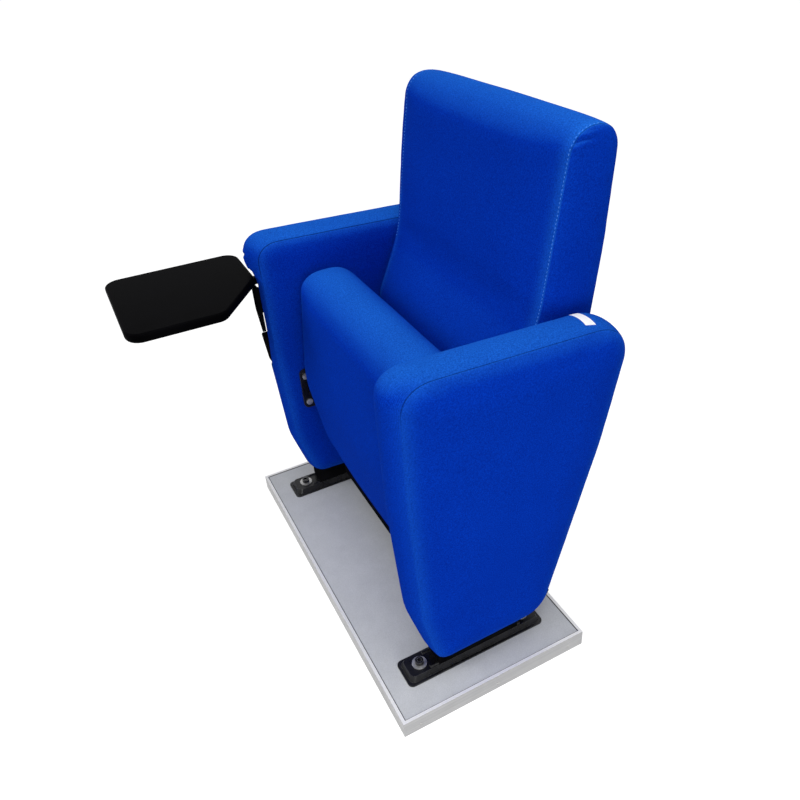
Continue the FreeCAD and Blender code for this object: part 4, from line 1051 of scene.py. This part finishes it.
def laminate():
    """Grey decorative laminate with a faint brushed figure and fine speckle."""
    shader = Shader("laminate", Specular_IOR_Level=0.1)
    figure = shader.noise(26.0, 5.0, 0.65)
    speckle = shader.noise(600.0, 2.0, 0.6)
    colour = shader.ramp(figure, (0.55, 0.565, 0.585), (0.60, 0.615, 0.635))
    flecks = shader.ramp(speckle, (0.90, 0.90, 0.90), (1.06, 1.06, 1.06))
    colour = shader.blend(1.0, colour, flecks, "MULTIPLY")
    place = shader.node("SeparateXYZ", {"Vector": shader.place()})
    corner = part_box("base_board")[1]
    lines = []
    for axis, reach in (("X", corner.x), ("Y", corner.y)):
        away = shader.math("ABSOLUTE", place.outputs[axis], 0.0)
        start = reach - GROOVE_INSET * MM
        lines.append(shader.span(away, 0.0, 1.0, start, start + GROOVE_EDGE * MM))
    groove = shader.math("MAXIMUM", *lines)
    colour = shader.blend(groove, colour, (0.02, 0.02, 0.022, 1.0))
    return shader.finish(colour, shader.span(figure, 0.36, 0.5), speckle, 0.06, 0.0003)


def nylon():
    """Off-white turned nylon."""
    shader = Shader("nylon", Subsurface_Weight=0.1, Subsurface_Radius=(0.002, 0.002, 0.0015))
    slow = shader.noise(90.0)
    colour = shader.ramp(slow, (0.66, 0.65, 0.60), (0.76, 0.75, 0.71))
    return shader.finish(colour, shader.span(slow, 0.35, 0.5), slow, 0.05)


def plywood():
    """Birch ply: pale figure with darker glue lines."""
    shader = Shader("plywood")
    grain = shader.noise(1.0, 5.0, 0.6, shader.stretched((60.0, 220.0, 9.0)))
    plies = shader.node("TexWave", {"Vector": shader.place()}, bands_direction="X", Scale=105.0,
                        Distortion=0.3).outputs["Fac"]
    colour = shader.ramp(grain, (0.50, 0.36, 0.21), (0.68, 0.53, 0.35))
    colour = shader.blend(shader.span(plies, 0.0, 0.35, 0.75, 1.0), colour, (0.30, 0.19, 0.10, 1.0))
    return shader.finish(colour, shader.span(grain, 0.6, 0.8), grain, 0.2)


def hinge_paint():
    """Flat black paint of the tablet's hinge."""
    shader = Shader("hinge_paint", Specular_IOR_Level=0.0)
    grain = shader.noise(700.0, 3.0, 0.55)
    colour = shader.ramp(grain, (0.003, 0.003, 0.0035), (0.008, 0.008, 0.009))
    return shader.finish(colour, shader.span(grain, 0.5, 0.7), grain, 0.15, 0.0004)


def dress_nodes(materials):
    """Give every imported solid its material."""
    slots = {row["node"]: row["material_slot"] for row in frame["record"]["subparts"]}
    for node, solid in frame["nodes"].items():
        key = slots[node]
        if key == "aluminium":
            key = "aluminium_x" if node in ("base_trim_front", "base_trim_rear") else "aluminium_y"
        if key == "black_steel" and node.startswith("tablet"):
            key = "hinge_paint"
        solid.data.materials.clear()
        solid.data.materials.append(materials[key])


def upholster(piece, material, body, node):
    """Finish a cover: material, body, and the solid that it stands for."""
    piece.data.materials.clear()
    piece.data.materials.append(material)
    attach(piece, body)
    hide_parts(node)


# Small pieces
def circle(bm, centre, across, up, radius, sides):
    """Loop of points around a centre."""
    turns = [math.tau * k / sides for k in range(sides)]
    return [bm.verts.new(centre + (across * math.cos(a) + up * math.sin(a)) * radius) for a in turns]


def skin(bm, loops):
    """Faces between loops of equal length, closed at both ends."""
    for low, high in zip(loops[:-1], loops[1:]):
        for k in range(len(low)):
            after = (k + 1) % len(low)
            bm.faces.new((low[k], low[after], high[after], high[k]))
    bm.faces.new(loops[0][::-1])
    bm.faces.new(loops[-1])


def stitch(bm, start, end, normal, radius):
    """Stitch between two points, raised in the middle."""
    side = (end - start).normalized().cross(normal).normalized()
    loops = []
    for share, size in STITCH_PROFILE:
        centre = start.lerp(end, share) + normal * radius * (size - 0.5)
        loops.append(circle(bm, centre, side, normal, radius * size, STITCH_SIDES))
    skin(bm, loops)


def surface_of(piece):
    """Tree for finding the nearest point on a piece."""
    return BVHTree.FromObject(piece, bpy.context.evaluated_depsgraph_get())


def mesh_piece(name, bm, material, body):
    """Turn built geometry into a named piece that rides on a body."""
    bmesh.ops.recalc_face_normals(bm, faces=bm.faces)
    mesh = bpy.data.meshes.new(name)
    bm.to_mesh(mesh)
    bm.free()
    mesh.materials.append(material)
    piece = bpy.data.objects.new(name, mesh)
    bpy.context.scene.collection.objects.link(piece)
    smooth(piece)
    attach(piece, body)
    return piece


def back_stitches(cover, material):
    """A row of top stitches beside each seam of the back, up its front edges and over its top."""
    tree = surface_of(cover)
    line = ring(BACK_OUTLINE, BACK_MAIN, STITCH_SAMPLES)
    lengths = np.linalg.norm(np.roll(line, -1, axis=0) - line, axis=1)
    bm = bmesh.new()
    for side in (1, -1):
        x = side * (BACK_SEAM - STITCH_OFFSET)
        travelled = 0.0
        for index in range(len(line)):
            travelled += lengths[index]
            y, z = line[index]
            if travelled < STITCH_PITCH:
                continue
            travelled = 0.0
            if y > STITCH_REARMOST or z < STITCH_LOWEST:
                continue
            ahead = line[(index + 3) % len(line)]
            direction = Vector((0.0, ahead[0] - y, ahead[1] - z)).normalized()
            guess = Vector((x, y, z)) * MM
            spot, normal, _, _ = tree.find_nearest(guess)
            half = direction * STITCH_LENGTH * MM / 2
            stitch(bm, spot - half, spot + half, normal, STITCH_RADIUS * MM)
    return mesh_piece("back_stitches", bm, material, "frame")


def arm_tag(cover, material):
    """Bare tape tag lying on the left arm, near its rear end."""
    tree = surface_of(cover)
    bm = bmesh.new()
    a, b, c, d = [np.array(corner) for corner in TAG_CORNERS]
    above = CAD_BOX[1][2]
    places = range(TAG_STEPS + 1)
    layers = []
    for lift in (TAG_GAUGE, TAG_BED):
        grid = {}
        for i in places:
            for j in places:
                u = i / TAG_STEPS
                v = j / TAG_STEPS
                x, y = (1 - u) * (1 - v) * a + (1 - u) * v * b + u * v * c + u * (1 - v) * d
                hit, normal, _, _ = tree.ray_cast(Vector((x * MM, y * MM, above)), Vector((0, 0, -1)))
                grid[i, j] = bm.verts.new(hit + normal * lift * MM)
        layers.append(grid)
    for grid in layers:
        for i in places[:-1]:
            for j in places[:-1]:
                bm.faces.new((grid[i, j], grid[i + 1, j], grid[i + 1, j + 1], grid[i, j + 1]))
    rim = [(i, 0) for i in places[:-1]] + [(TAG_STEPS, j) for j in places[:-1]]
    rim += [(i, TAG_STEPS) for i in places[:0:-1]] + [(0, j) for j in places[:0:-1]]
    top, low = layers
    for here, after in zip(rim, rim[1:] + rim[:1]):
        bm.faces.new((top[here], top[after], low[after], low[here]))
    return mesh_piece("arm_tag", bm, material, "frame")


def trim_rivets(material):
    """Low domed rivets along the four sides of the base's trim."""
    outer_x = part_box("base_trim_left")[1].x
    outer_y = -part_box("base_trim_front")[0].y
    spots = []
    for place in (-1, 0, 1):
        y = place * RIVET_PITCH * MM
        spots += [((outer_x, y), (1, 0)), ((-outer_x, y), (-1, 0))]
    for place in (-1.5, -0.5, 0.5, 1.5):
        x = place * RIVET_FRONT_PITCH * MM
        spots += [((x, outer_y), (0, 1)), ((x, -outer_y), (0, -1))]
    up = Vector((0.0, 0.0, 1.0))
    bm = bmesh.new()
    for (x, y), (normal_x, normal_y) in spots:
        normal = Vector((normal_x, normal_y, 0.0))
        side = Vector((-normal_y, normal_x, 0.0))
        centre = Vector((x, y, RIVET_HEIGHT * MM))
        loops = []
        for radius, height in RIVET_PROFILE:
            middle = centre + normal * RIVET_RISE * MM * height
            loops.append(circle(bm, middle, side, up, RIVET_RADIUS * MM * radius, RIVET_SIDES))
        skin(bm, loops)
    return mesh_piece("trim_rivets", bm, material, "frame")


# Build
place_camera()
light_world()
for lamp in LAMPS:
    area_light(*lamp)
lay_floor()
MATERIALS = {
    "blue_fabric": fabric(),
    "plywood": plywood(),
    "black_steel": coated_steel(),
    "hinge_paint": hinge_paint(),
    "zinc": zinc(),
    "black_bolt": black_bolt(),
    "black_plastic": moulded_plastic(),
    "tablet_plastic": tablet_plastic(),
    "nylon": nylon(),
    "aluminium_x": aluminium(0),
    "aluminium_y": aluminium(1),
    "laminate": laminate(),
}
dress_nodes(MATERIALS)
left_cover = panel_cover(1)
right_cover = panel_cover(-1)
back = back_cover()
seat = seat_cover()
cover_cloth = MATERIALS["blue_fabric"]
upholster(left_cover, cover_cloth, "frame", "left_panel_cushion")
upholster(right_cover, cover_cloth, "frame", "right_panel_cushion")
upholster(back, cover_cloth, "frame", "back_cushion")
upholster(seat, cover_cloth, "seat", "seat_cushion")
back_stitches(back, thread())
arm_tag(left_cover, tag_cloth())
trim_rivets(MATERIALS["zinc"])

bpy.context.scene.view_settings.view_transform = "Standard"
